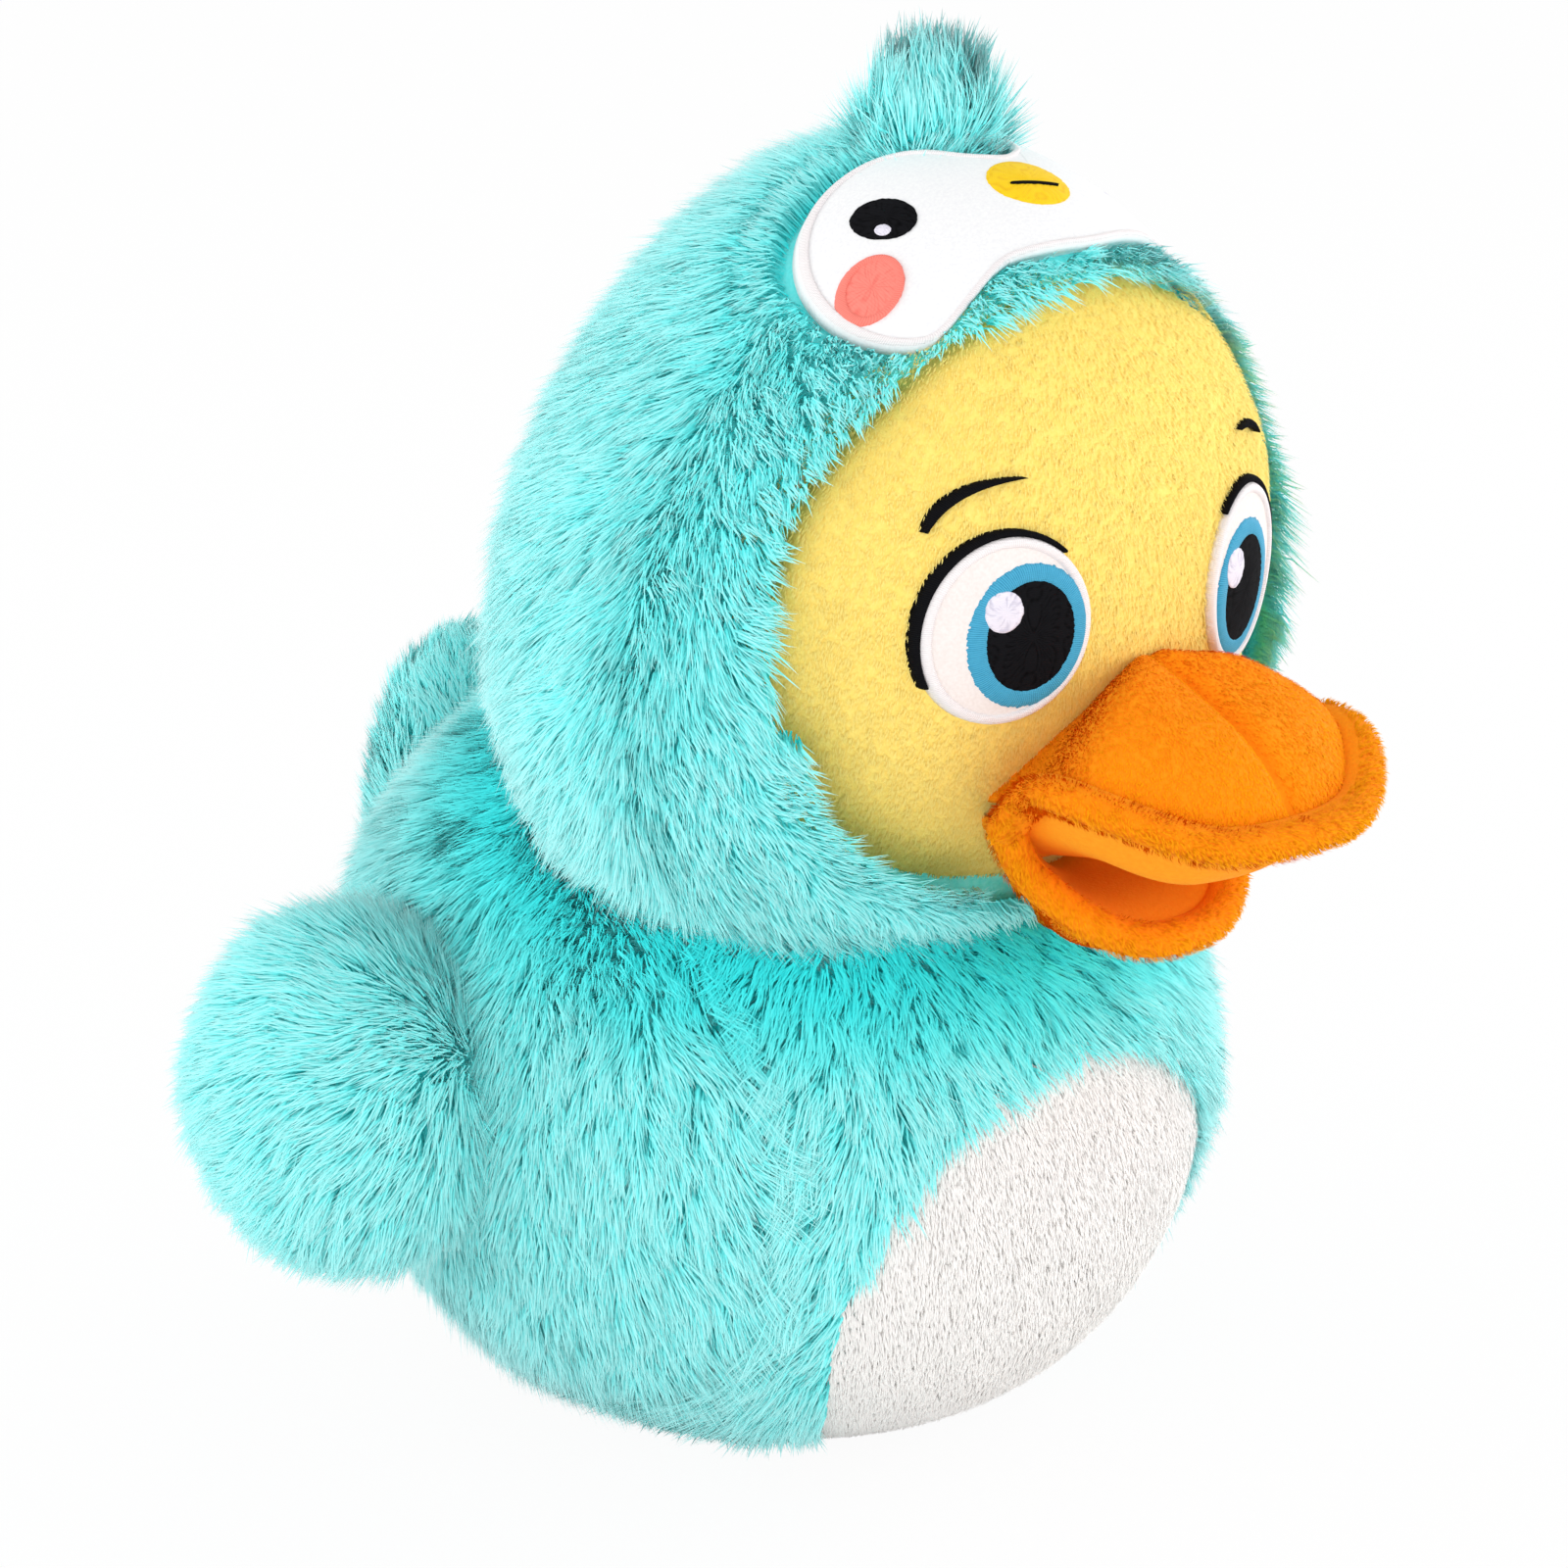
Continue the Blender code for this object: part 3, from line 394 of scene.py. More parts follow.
def flat_to(vectors: Array, normals: Array) -> Array:
    """Vectors laid along a surface, at length one."""
    return unit(along(vectors, normals))


def mixed(first: Array, second: Array, share: Array) -> Array:
    """Rows part of the way from the first to the second."""
    return first * (1 - share)[:, None] + second * share[:, None]


def waves(points: Array, length: float, seed: int, count: int = 7) -> Array:
    """A smooth random field from about -1 to 1.

    Args:
        points: Places, in metres.
        length: About how far apart its hills lie.
        seed: Which field.
        count: Waves summed.

    Returns:
        One value for each place.
    """
    rng = np.random.default_rng(seed)
    directions = unit(rng.normal(size=(count, 3))) * (math.tau / length) * rng.uniform(0.6, 1.4, (count, 1))
    phases = rng.uniform(0, math.tau, count)
    return np.sin(points @ directions.T + phases).sum(axis=1) / math.sqrt(count)


def nearest_seeds(points: Array, cell: float, seed: int) -> tuple[Array, Array]:
    """The nearest of a scatter of seed points to each point, one seed in each cell of a lattice.

    Args:
        points: Places, in metres.
        cell: The lattice's cell.
        seed: Which scatter.

    Returns:
        The seeds' places and a random number from 0 to 1 for each.
    """
    base = np.floor(points / cell).astype(np.int64)
    best = np.full(len(points), np.inf)
    place = np.zeros_like(points)
    number = np.zeros(len(points))
    for offset in np.ndindex(3, 3, 3):
        corner = base + offset - 1
        key = (corner[:, 0] * 73856093) ^ (corner[:, 1] * 19349663) ^ (corner[:, 2] * 83492791) ^ seed
        parts = [((key * factor + 12345) % 1000003) / 1000003 for factor in (2654435, 9737333, 5915587)]
        here = (corner + np.stack(parts, axis=1)) * cell
        gap = np.sum((here - points) ** 2, axis=1)
        nearer = gap < best
        best[nearer] = gap[nearer]
        place[nearer] = here[nearer]
        number[nearer] = parts[0][nearer]
    return place, number


# Lines


def turned(x: Array, y: Array, turn: float, middle: Pair) -> Array:
    """Flat places turned about zero and then moved."""
    return columns(x * math.cos(turn) - y * math.sin(turn) + middle[0],
                   x * math.sin(turn) + y * math.cos(turn) + middle[1])


def oval(angle: Array, half: Pair, middle: Pair, turn: float = 0.0, share: Array | float = 1.0) -> Array:
    """Places at angles on a turned oval, or at a share of its size."""
    return turned(half[0] * share * np.cos(angle), half[1] * share * np.sin(angle), turn, middle)


def around(count: int) -> Array:
    """Angles at even steps once round."""
    return np.arange(count) * math.tau / count


def run_of(line: Array) -> Array:
    """How far along a line each of its points lies."""
    return np.append(0, np.cumsum(np.linalg.norm(np.diff(line, axis=0), axis=1)))


def sampled(line: Array, run: Array, at: Array) -> Array:
    """Places along a line."""
    return np.stack([np.interp(at, run, axis) for axis in line.T], axis=1)


# Meshes


def finish_piece(obj: bpy.types.Object, finish: Finish, body: str, hides: Sequence[str] = (),
                 material: Optional[bpy.types.Material] = None) -> None:
    """Give a piece its material, its body and what it stands for.

    Args:
        obj: The piece.
        finish: Its finish.
        body: The body it rides on.
        hides: CAD nodes that it stands for.
        material: The finish's material, where pieces share one.
    """
    obj.data.materials.clear()
    obj.data.materials.append(material or finish.material())
    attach(obj, body)
    if hides:
        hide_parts(*hides)
    LOG.info("%s: %d faces on %s", obj.name, len(obj.data.polygons), body)


def link_object(name: str, data: bpy.types.ID) -> bpy.types.Object:
    """Put new data into the scene.

    Args:
        name: The object's name.
        data: Its mesh, light or camera.

    Returns:
        The object.
    """
    obj = bpy.data.objects.new(name, data)
    bpy.context.scene.collection.objects.link(obj)
    return obj


def mesh_object(name: str, points: Array, faces: Iterable[Face],
                stitch: Optional[Array] = None) -> bpy.types.Object:
    """A smooth mesh object from points and faces.

    Args:
        name: The piece's name.
        points: Vertices.
        faces: Rows of vertex numbers.
        stitch: Two numbers for each vertex, kept in the map named stitch.

    Returns:
        The object.
    """
    mesh = bpy.data.meshes.new(name)
    mesh.from_pydata([tuple(p) for p in points], [], list(faces))
    if stitch is not None:
        layer = mesh.uv_layers.new(name="stitch")
        order = np.zeros(len(mesh.loops), dtype=np.int32)
        mesh.loops.foreach_get("vertex_index", order)
        layer.data.foreach_set("uv", np.ascontiguousarray(stitch[order], dtype=np.float32).ravel())
    mesh.shade_smooth()
    mesh.update()
    return link_object(name, mesh)


def grid_faces(rows: int, count: int, ring: bool, start: int = 0, close: bool = False) -> list[Face]:
    """Quads between rows of points, looking outwards where columns turn anticlockwise.

    Args:
        rows: Rows of points.
        count: Points in a row.
        ring: Whether each row is a ring.
        start: The first point's number.
        close: Whether the last row joins the first.

    Returns:
        The faces.
    """
    faces = []
    for row in range(rows if close else rows - 1):
        low, high = start + row * count, start + (row + 1) % rows * count
        for column in range(count if ring else count - 1):
            after = (column + 1) % count
            faces.append((low + column, low + after, high + after, high + column))
    return faces


def fan(start: int, count: int, tip: int) -> list[Face]:
    """Triangles from a ring of points up to a tip."""
    return [(start + step, start + (step + 1) % count, tip) for step in range(count)]


def flipped(faces: Iterable[Face]) -> list[Face]:
    """Faces that look the other way."""
    return [tuple(reversed(face)) for face in faces]


def shell(outer: Array, inner: Array, faces: list[Face], rim: list[int]) -> tuple[Array, list[Face]]:
    """A closed shell from a sheet and a second sheet under it.

    Args:
        outer: The sheet's points.
        inner: The second sheet's points, in the same order.
        faces: The sheet's faces.
        rim: The points round its edge.

    Returns:
        The points and the faces.
    """
    count = len(outer)
    under = flipped(tuple(count + index for index in face) for face in faces)
    edge = [(here, count + here, count + after, after) for here, after in zip(rim, rim[1:] + rim[:1])]
    return np.concatenate((outer, inner)), faces + under + edge


@dataclass(frozen=True)
class Pile:
    """How one kind of pile grows."""

    length: float
    lean: float
    width: float
    density: float
    clump: float
    pull: float
    spread: float = 0.25
    unruly: float = 0.12
    segments: int = 2
    crisp: float = 0.0
    twist: float = 0.05
    shade: float = 0.0


LONG_PILE = Pile(0.0104, 0.80, 0.00044, 2.6e6, 0.0038, 0.34, 0.2, unruly=0.42, crisp=0.06, twist=0.16,
                 shade=0.30)


def ribbons(name: str, spines: Array, across: Array, widths: Array, shading: Array, tones: Array,
            tips: Array, crisp: float) -> bpy.types.Object:
    """Strands as narrow ribbons that end in points.

    Args:
        name: The piece's name.
        spines: Places along each strand, root first.
        across: Each strand's sideways direction.
        widths: Each strand's width.
        shading: Each strand's normal for soft shading.
        tones: Each strand's tone from 0 to 1.
        tips: How far each strand's colour runs from its darker root towards its paler tip, from 0 to 1,
            which sets its painted shade and light.
        crisp: How far each strand is shaded by its own side, from 0 to 1.

    Returns:
        The object, with tone and height in its map.
    """
    count, knots, _ = spines.shape
    segments = knots - 1
    each = segments * 2 + 1
    half = (widths[:, None] * np.linspace(0.85, 1.0, segments) / 2)[:, :, None] * across[:, None, :]
    pairs = np.stack((spines[:, :-1] - half, spines[:, :-1] + half), axis=2)
    points = np.concatenate((pairs.reshape(count, segments * 2, 3), spines[:, -1:]), axis=1)
    corners = [2 * low + index for low in range(segments - 1) for index in (0, 1, 3, 2)]
    corners = np.array(corners + [each - 3, each - 2, each - 1])
    loops = np.arange(count)[:, None] * each + corners
    begin = np.arange(count)[:, None] * len(corners) + np.arange(segments) * 4
    heights = np.append(np.repeat(np.arange(segments) / segments, 2), 1.0)
    mapped = np.stack((np.repeat(tones, len(corners)), (tips[:, None] * heights[corners]).ravel()), axis=1)
    mesh = bpy.data.meshes.new(name)
    mesh.vertices.add(count * each)
    mesh.vertices.foreach_set("co", points.astype(np.float32).ravel())
    mesh.loops.add(loops.size)
    mesh.loops.foreach_set("vertex_index", loops.astype(np.int32).ravel())
    mesh.polygons.add(begin.size)
    mesh.polygons.foreach_set("loop_start", begin.astype(np.int32).ravel())
    layer = mesh.uv_layers.new(name="OFBake")
    layer.data.foreach_set("uv", mapped.astype(np.float32).ravel())
    mesh.shade_smooth()
    mesh.update(calc_edges=True)
    facing = unit(np.cross(across[:, None, :], np.diff(spines, axis=1)))
    facing = np.repeat(np.concatenate((facing, facing[:, -1:]), axis=1), 2, axis=1)[:, :each]
    soft = unit(facing * crisp + shading[:, None, :] * (1 - crisp))
    mesh.normals_split_custom_set_from_vertices(soft.reshape(-1, 3).astype(np.float32))
    return link_object(name, mesh)


def grow(name: str, roots: Array, normals: Array, flow: Array, pile: Pile, seed: int,
         scale: Array | float = 1.0, stand: Array | float = 0.0,
         pale: Array | float = 1.0) -> bpy.types.Object:
    """Grow a pile on a surface.

    Args:
        name: The piece's name.
        roots: Where strands start.
        normals: The surface's normals there.
        flow: Which way strands lean there.
        pile: How the pile grows.
        seed: Which random draw.
        scale: Each strand's length as a share of the pile's.
        stand: How upright each strand is, from 0 to 1.
        pale: How far each strand's colour runs from its darker root towards its paler tip, 1 for all the
            way, which sets its painted light and shade.

    Returns:
        The object.
    """
    rng = np.random.default_rng(seed)
    count = len(roots)
    flow = flat_to(flow, normals)
    side = np.cross(normals, flow)
    seeds, number = nearest_seeds(roots, pile.clump, seed)
    swirl = (waves(roots, pile.clump * 5, seed + 1) * 0.6 + (number - 0.5) * 1.6) * pile.unruly
    swirl += rng.normal(0, 0.25 * pile.unruly, count)
    flow = flow * np.cos(swirl)[:, None] + side * np.sin(swirl)[:, None]
    stand = np.clip(stand + waves(roots, 0.035, 500) * 0.4 * pile.unruly, 0, 1)
    length = pile.length * scale * (1 + pile.spread * rng.uniform(-1, 1, count)) * (0.9 + 0.2 * number)
    lean = pile.lean * (1 - 0.75 * stand) * (1 + 0.35 * pile.unruly * rng.uniform(-1, 1, count))
    lean = np.minimum(lean, 0.98)
    rise = length * np.sqrt(np.maximum(1 - lean ** 2, 0.05))
    share = np.linspace(0, 1, pile.segments + 1)[None, :, None]
    spines = roots[:, None, :] + (1 - (1 - share) ** 1.45) * (rise[:, None, None] * normals[:, None, :])
    spines += share ** 1.8 * ((length * lean)[:, None, None] * flow[:, None, :])
    spines += along(seeds - roots, normals)[:, None, :] * (pile.pull * share ** 1.3)
    spines += rng.normal(0, 1, (count, 1, 3)) * share ** 1.5 * pile.length * 0.07
    spines[:, :, 2] = np.maximum(spines[:, :, 2], 0.0006)
    turn = rng.uniform(-pile.twist, pile.twist, count)
    ahead = unit(spines[:, -1] - spines[:, 0])
    across = unit(np.cross(ahead, normals) + 1e-9)
    across = across * np.cos(turn)[:, None] + np.cross(across, ahead) * np.sin(turn)[:, None]
    widths = pile.width * rng.uniform(0.7, 1.3, count)
    tones = np.clip(0.55 + 0.25 * (number - 0.5) + 0.22 * rng.normal(size=count), 0.02, 0.98)
    tips = np.clip(pale * (1 - pile.shade * (1 - number)), 0.02, 0.99)
    return ribbons(name, spines, across, widths, normals, tones, tips, pile.crisp)


# Forms


@dataclass
class Form:
    """A shape that a unit ball is carried to."""

    def surface(self, p: Array) -> Array:
        """Carry unit-ball places to the shape."""
        raise NotImplementedError

    def shares(self, points: Array) -> Array:
        """Unit-ball places of points."""
        raise NotImplementedError

    def depth(self, points: Array) -> Array:
        """How far out points lie, 1 on the full surface."""
        return np.linalg.norm(self.shares(points), axis=1)

    def onto(self, points: Array, share: Array | float) -> Array:
        """Points moved straight in or out to a share of the full radius."""
        return self.surface(self.shares(points) * (share / np.maximum(self.depth(points), TINY))[:, None])

    def at_most(self, points: Array, share: float) -> Array:
        """Points drawn in where they lie past a share of the full radius."""
        ratio = np.minimum(share / np.maximum(self.depth(points), TINY), 1)
        return self.surface(self.shares(points) * ratio[:, None])

    def frame_at(self, p: Array) -> tuple[Array, Array, Array]:
        """Places, normals and how much the surface is stretched.

        Args:
            p: Unit-ball places.

        Returns:
            Places, outward normals and area stretch.
        """
        helper = np.where(np.abs(p[:, 2:3]) < 0.9, UP[None, :], np.array([[1.0, 0, 0]]))
        first = unit(np.cross(helper, p))
        second = unit(np.cross(p, first))
        here = self.surface(p)
        one = (self.surface(p + first * STEP) - here) / STEP
        two = (self.surface(p + second * STEP) - here) / STEP
        cross = np.cross(one, two)
        return here, unit(cross), np.linalg.norm(cross, axis=1)

    def scatter(self, density: float, share: float, seed: int) -> tuple[Array, Array, Array]:
        """Even random places on the shape.

        Args:
            density: Places for each square metre.
            share: The share of the full radius that they lie at.
            seed: Which random draw.

        Returns:
            Unit-ball places, places and normals.
        """
        rng = np.random.default_rng(seed)
        probe = unit(rng.normal(size=(4000, 3))) * share
        most = self.frame_at(probe)[2].max() * 1.05
        count = int(density * 4 * math.pi * most * share ** 2)
        p = unit(rng.normal(size=(count, 3))) * share
        here, normals, stretch = self.frame_at(p)
        kept = rng.uniform(0, most, count) < stretch
        return p[kept], here[kept], normals[kept]

    def skin(self, name: str, turns: int, rings: int, share: float,
             adjust: Callable[[Array], Array] = np.copy) -> bpy.types.Object:
        """A closed skin.

        Args:
            name: The piece's name.
            turns: Points round.
            rings: Rows between the poles.
            share: The share of the full radius.
            adjust: A change to its points.

        Returns:
            The object.
        """
        turn = around(turns)
        rows = []
        for polar in math.pi * np.arange(1, rings + 1) / (rings + 1):
            rows.append(columns(np.sin(turn) * math.sin(polar), -np.cos(turn) * math.sin(polar),
                                -math.cos(polar)))
        points = np.concatenate([-UP[None, :]] + rows + [UP[None, :]])
        faces = grid_faces(rings, turns, True, 1) + flipped(fan(1, turns, 0))
        faces += fan(1 + (rings - 1) * turns, turns, len(points) - 1)
        return mesh_object(name, adjust(self.surface(points * share)), faces)


@dataclass
class Ellipsoid(Form):
    """A plain ellipsoid."""

    middle: Triple
    half: Triple

    def surface(self, p: Array) -> Array:
        """Carry unit-ball places to the shape."""
        return p * np.array(self.half) + np.array(self.middle)

    def shares(self, points: Array) -> Array:
        """Unit-ball places of points."""
        return (points - np.array(self.middle)) / np.array(self.half)


@dataclass
class BodyForm(Form):
    """Egg-shaped body: broad below, drawn in above, with the rump lifted off the ground."""

    half_width: float = 0.098
    half_length: float = 0.107
    half_height: float = 0.095
    middle_y: float = 0.0027
    middle_z: float = 0.0842
    taper: float = 0.128
    rump_lift: float = 0.273

    def rump(self, y: Array, z: Array) -> Array:
        """How far the rump is lifted, as a share of the height."""
        return self.rump_lift * (np.maximum(y, 0) ** 2 * np.maximum(-z, 0))

    def surface(self, p: Array) -> Array:
        """Carry unit-ball places to the shape."""
        x, y, z = p.T
        return columns(self.half_width * x, self.half_length * y * (1 - self.taper * z) + self.middle_y,
                       self.half_height * (z + self.rump(y, z)) + self.middle_z)

    def shares(self, points: Array) -> Array:
        """Unit-ball places of points, true in front and above.

        Args:
            points: Places, one row each.

        Returns:
            Unit-ball places, one row each.
        """
        z = (points[:, 2] - self.middle_z) / self.half_height
        y = (points[:, 1] - self.middle_y) / (self.half_length * (1 - self.taper * z))
        return columns(points[:, 0] / self.half_width, y, z - self.rump(y, z))

    def front(self, x: Array, z: Array, share: Array | float) -> Array:
        """Places on the front at a share of the full radius.

        Args:
            x: Distances across.
            z: Heights.
            share: The share of the full radius.

        Returns:
            Places, one row each.
        """
        up, across = (z - self.middle_z) / self.half_height, x / self.half_width
        depth = np.sqrt(np.maximum(share ** 2 - across ** 2 - up ** 2, 0.0004))
        return self.surface(columns(across, -depth, up))


@dataclass
class HoodForm(Form):
    """Hood: fuller below than on top, and leaning forward."""

    half_width: float = 0.0851
    half_length: float = 0.0832
    half_height: float = 0.0896
    middle_y: float = -0.0406
    middle_z: float = 0.2019
    lean: float = 0.0071
    side_taper: float = 0.30
    length_taper: float = 0.025
    least_wall: float = 0.0035
    top_wall: float = 0.0080
    top_starts: float = 0.62
    top_blend: float = 0.20

    def surface(self, p: Array) -> Array:
        """Carry unit-ball places to the shape."""
        x, y, z = p.T
        return columns(self.half_width * x * (1 - self.side_taper * z),
                       self.half_length * y * (1 - self.length_taper * z) - self.lean * z + self.middle_y,
                       self.half_height * z + self.middle_z)

    def shares(self, points: Array) -> Array:
        """Unit-ball places of points.

        Args:
            points: Places, one row each.

        Returns:
            Unit-ball places, one row each.
        """
        z = (points[:, 2] - self.middle_z) / self.half_height
        y = (points[:, 1] - self.middle_y + self.lean * z) / (self.half_length * (1 - self.length_taper * z))
        return columns(points[:, 0] / (self.half_width * (1 - self.side_taper * z)), y, z)


@dataclass
class HeadForm(Form):
    """Round head, drawn in where the hood would otherwise be thinner than its least wall."""

    hood: HoodForm = field(default_factory=HoodForm)
    half_width: float = 0.0817
    half_length: float = 0.0683
    half_height: float = 0.0833
    middle_y: float = -0.0442
    middle_z: float = 0.2084
    hidden_share: float = 0.895
    hidden_reach: float = 0.955
    hidden_y: float = -0.0542

    @property
    def shell(self) -> Ellipsoid:
        """The head before it is drawn in."""
        return Ellipsoid((0.0, self.middle_y, self.middle_z),
                         (self.half_width, self.half_length, self.half_height))

    def under_hood(self, points: Array) -> Array:
        """Draw the head in below the hood's skin outside the face opening."""
        outside = np.maximum(rising(OPENING.reach(points), self.hidden_reach, 0.05),
                             rising(points[:, 1], self.hidden_y, 0.012))
        return points + (self.hood.at_most(points, self.hidden_share) - points) * outside[:, None]

    def surface(self, p: Array) -> Array:
        """Carry unit-ball places to the shape.

        Args:
            p: Unit-ball places, one row each.

        Returns:
            Places on the shape, one row each.
        """
        hood = self.hood
        points = self.shell.surface(p)
        topping = rising(hood.shares(points)[:, 2], hood.top_starts, hood.top_blend)
        limit = 1 - (hood.least_wall + (hood.top_wall - hood.least_wall) * topping) / hood.half_width
        return np.where((hood.depth(points) > limit)[:, None], hood.onto(points, limit), points)

    def front(self, x: Array, z: Array, lift: float = 0.0) -> Array:
        """Places on the face, or so far in front of it.

        Args:
            x: Distances across.
            z: Heights.
            lift: How far in front of the face, in metres.

        Returns:
            Places, one row each.
        """
        across, up = x / (self.half_width + lift), (z - self.middle_z) / (self.half_height + lift)
        depth = np.sqrt(np.maximum(1 - across ** 2 - up ** 2, 0.0001))
        return columns(x, self.middle_y - (self.half_length + lift) * depth, z)


@dataclass
class TailForm(Form):
    """Upturned tail, its tip curled away from the back."""

    half_width: float = 0.0300
    half_thickness: float = 0.0213
    half_height: float = 0.0562
    middle_y: float = 0.1097
    middle_z: float = 0.1009
    curl: float = 0.006

    def surface(self, p: Array) -> Array:
        """Carry unit-ball places to the shape."""
        x, y, z = p.T
        return columns(self.half_width * x,
                       self.half_thickness * y + self.curl * np.maximum(z, 0) ** 2 + self.middle_y,
                       self.half_height * z + self.middle_z)


@dataclass
class FaceOpening:
    """The hood's opening, seen from the front."""

    half_width: float = 0.0740
    rise: float = 0.0712
    drop: float = 0.0575
    middle_z: float = 0.1976
    squareness: float = 2.7
    roundness: float = 1.8
    front_y: float = -0.0526

    def reach(self, points: Array) -> Array:
        """How far out of the opening points lie, below 1 inside it.

        Args:
            points: Places, one row each.

        Returns:
            One number for each place.
        """
        height = points[:, 2] - self.middle_z
        half = np.where(height > 0, self.rise, self.drop)
        power = np.where(height > 0, self.roundness, self.squareness)
        across = np.abs(points[:, 0] / self.half_width)
        return (across ** power + np.abs(height / half) ** power) ** (1 / power)

    def inward(self, points: Array) -> Array:
        """The direction to the opening's middle, seen from the front."""
        return unit(columns(-points[:, 0], 0.0, self.middle_z - points[:, 2]))

    def faces(self, points: Array) -> Array:
        """Whether points lie in the front of the hood, where the opening is."""
        return points[:, 1] < self.front_y


BODY = BodyForm()
HOOD = HoodForm()
HEAD = HeadForm()
HEAD_SHELL = HEAD.shell
OPENING = FaceOpening()


# Sub-assemblies


def outside_body(points: Array, gap: float = 0.0008) -> Array:
    """Points moved out of the body's skin, to a gap from it."""
    least = BodyFur.skin_share + gap / BODY.half_width
    return np.where((BODY.depth(points) < least)[:, None], BODY.onto(points, least), points)


@dataclass
class BellyPanel:
    """White plush panel let into the front of the body."""

    half_width: float = 0.0506
    middle_z: float = 0.055
    rise: float = 0.0495
    drop: float = 0.085
    depth_share: float = 0.952
    narrowing: float = 0.22
    skin_reach: float = 1.06
    edge_drop: float = 0.07
    least_z: float = 0.0012
    thickness: float = 0.010
    pile: Pile = Pile(0.0020, 0.93, 0.00034, 4.0e6, 0.003, 0.06, unruly=0.15)

    def reach(self, points: Array) -> Array:
        """How far out of the panel points lie, below 1 inside it.

        Args:
            points: Places, one row each.

        Returns:
            One number for each place.
        """
        height = points[:, 2] - self.middle_z
        half = np.where(height > 0, self.rise, self.drop)
        low = self.half_width * (1 - self.narrowing * falling(points[:, 2], self.middle_z, self.middle_z))
        return np.where(points[:, 1] < BODY.middle_y, np.hypot(points[:, 0] / low, height / half), 9.0)

    def build(self) -> None:
        """Make the panel and its pile."""
        rings, turns = 26, 72
        turn = around(turns)
        height = np.where(np.sin(turn) > 0, self.rise, self.drop)
        rows = [BODY.front(np.zeros(1), np.full(1, self.middle_z), self.depth_share)]
        for reach in self.skin_reach * np.arange(1, rings + 1) / rings:
            x = self.half_width * reach * np.cos(turn)
            z = np.maximum(self.middle_z + height * reach * np.sin(turn), self.least_z)
            rows.append(BODY.front(x, z, self.depth_share - self.edge_drop * rising(reach, 0.95, 0.11)))
        outer = np.concatenate(rows)
        faces = fan(1, turns, 0) + grid_faces(rings, turns, True, 1)
        last = 1 + (rings - 1) * turns
        panel = mesh_object("belly_skin", *shell(outer, outer + (0, self.thickness, 0), faces,
                                                 list(range(last, last + turns))))
        finish_piece(panel, WHITE_BACKING, "body", ["belly_panel"])
        _, roots, normals = BODY.scatter(self.pile.density, self.depth_share + 0.004, 11)
        kept = (self.reach(roots) < 1.03) & (roots[:, 2] > 0.002)
        hair = grow("belly_pile", roots[kept], normals[kept], -UP[None, :], self.pile, 12)
        finish_piece(hair, WHITE_PILE, "body")


@dataclass
class Wing:
    """Plump round wing, whose fur whirls out from a point near the chest."""

    side: Side
    half: Triple = (0.0317, 0.0385, 0.0408)
    across: float = 0.1055
    middle_y: float = 0.0178
    middle_z: float = 0.0904
    skin_share: float = 0.835
    bare_share: float = 0.93
    whorl: Triple = (-0.0955, -0.0150, 0.1010)
    whorl_size: float = 0.02
    # The wing's strands run all the way to their pale tips, paler than the body's fur: painted light.
    pale: float = 1.9

    @property
    def form(self) -> Ellipsoid:
        """The wing's full shape."""
        return Ellipsoid((self.across * self.side.value, self.middle_y, self.middle_z), self.half)

    def build(self) -> None:
        """Make the skin and the fur."""
        name, sign = f"{self.side.word}_wing", self.side.value
        skin = self.form.skin(f"{name}_skin", 48, 28, self.skin_share, outside_body)
        finish_piece(skin, AQUA_BACKING, name, [f"{name}_cover"])
        _, roots, normals = self.form.scatter(LONG_PILE.density, self.skin_share, 31 + sign)
        kept = BODY.depth(roots) > self.bare_share
        roots, normals = roots[kept], normals[kept]
        away = roots - np.array(self.whorl) * (-sign, 1, 1)
        far = np.linalg.norm(away, axis=1)
        spin = np.cross(normals, unit(away)) * (0.45 * np.exp(-far / self.whorl_size))[:, None]
        fur = grow(f"{name}_fur", roots, normals, unit(away) - 0.35 * UP + spin, LONG_PILE, 33 + sign,
                   pale=self.pale)
        finish_piece(fur, AQUA_PILE, name)


@dataclass
class Tail:
    """Stuffed upturned tail."""

    form: TailForm = field(default_factory=TailForm)
    skin_share: float = 0.85
    bare_share: float = 0.93
    # The tail's strands run all the way to their pale tips, paler than the body's fur: painted light.
    pale: float = 1.8

    def build(self) -> None:
        """Make the skin and the fur."""
        skin = self.form.skin("tail_skin", 40, 30, self.skin_share, outside_body)
        finish_piece(skin, AQUA_BACKING, "tail", ["tail_cover"])
        _, roots, normals = self.form.scatter(LONG_PILE.density, self.skin_share, 41)
        kept = BODY.depth(roots) > self.bare_share
        short = replace(LONG_PILE, length=LONG_PILE.length * 0.8)
        fur = grow("tail_fur", roots[kept], normals[kept], np.array([[0, 0.15, 1.0]]), short, 43,
                   pale=self.pale)
        finish_piece(fur, AQUA_PILE, "tail")


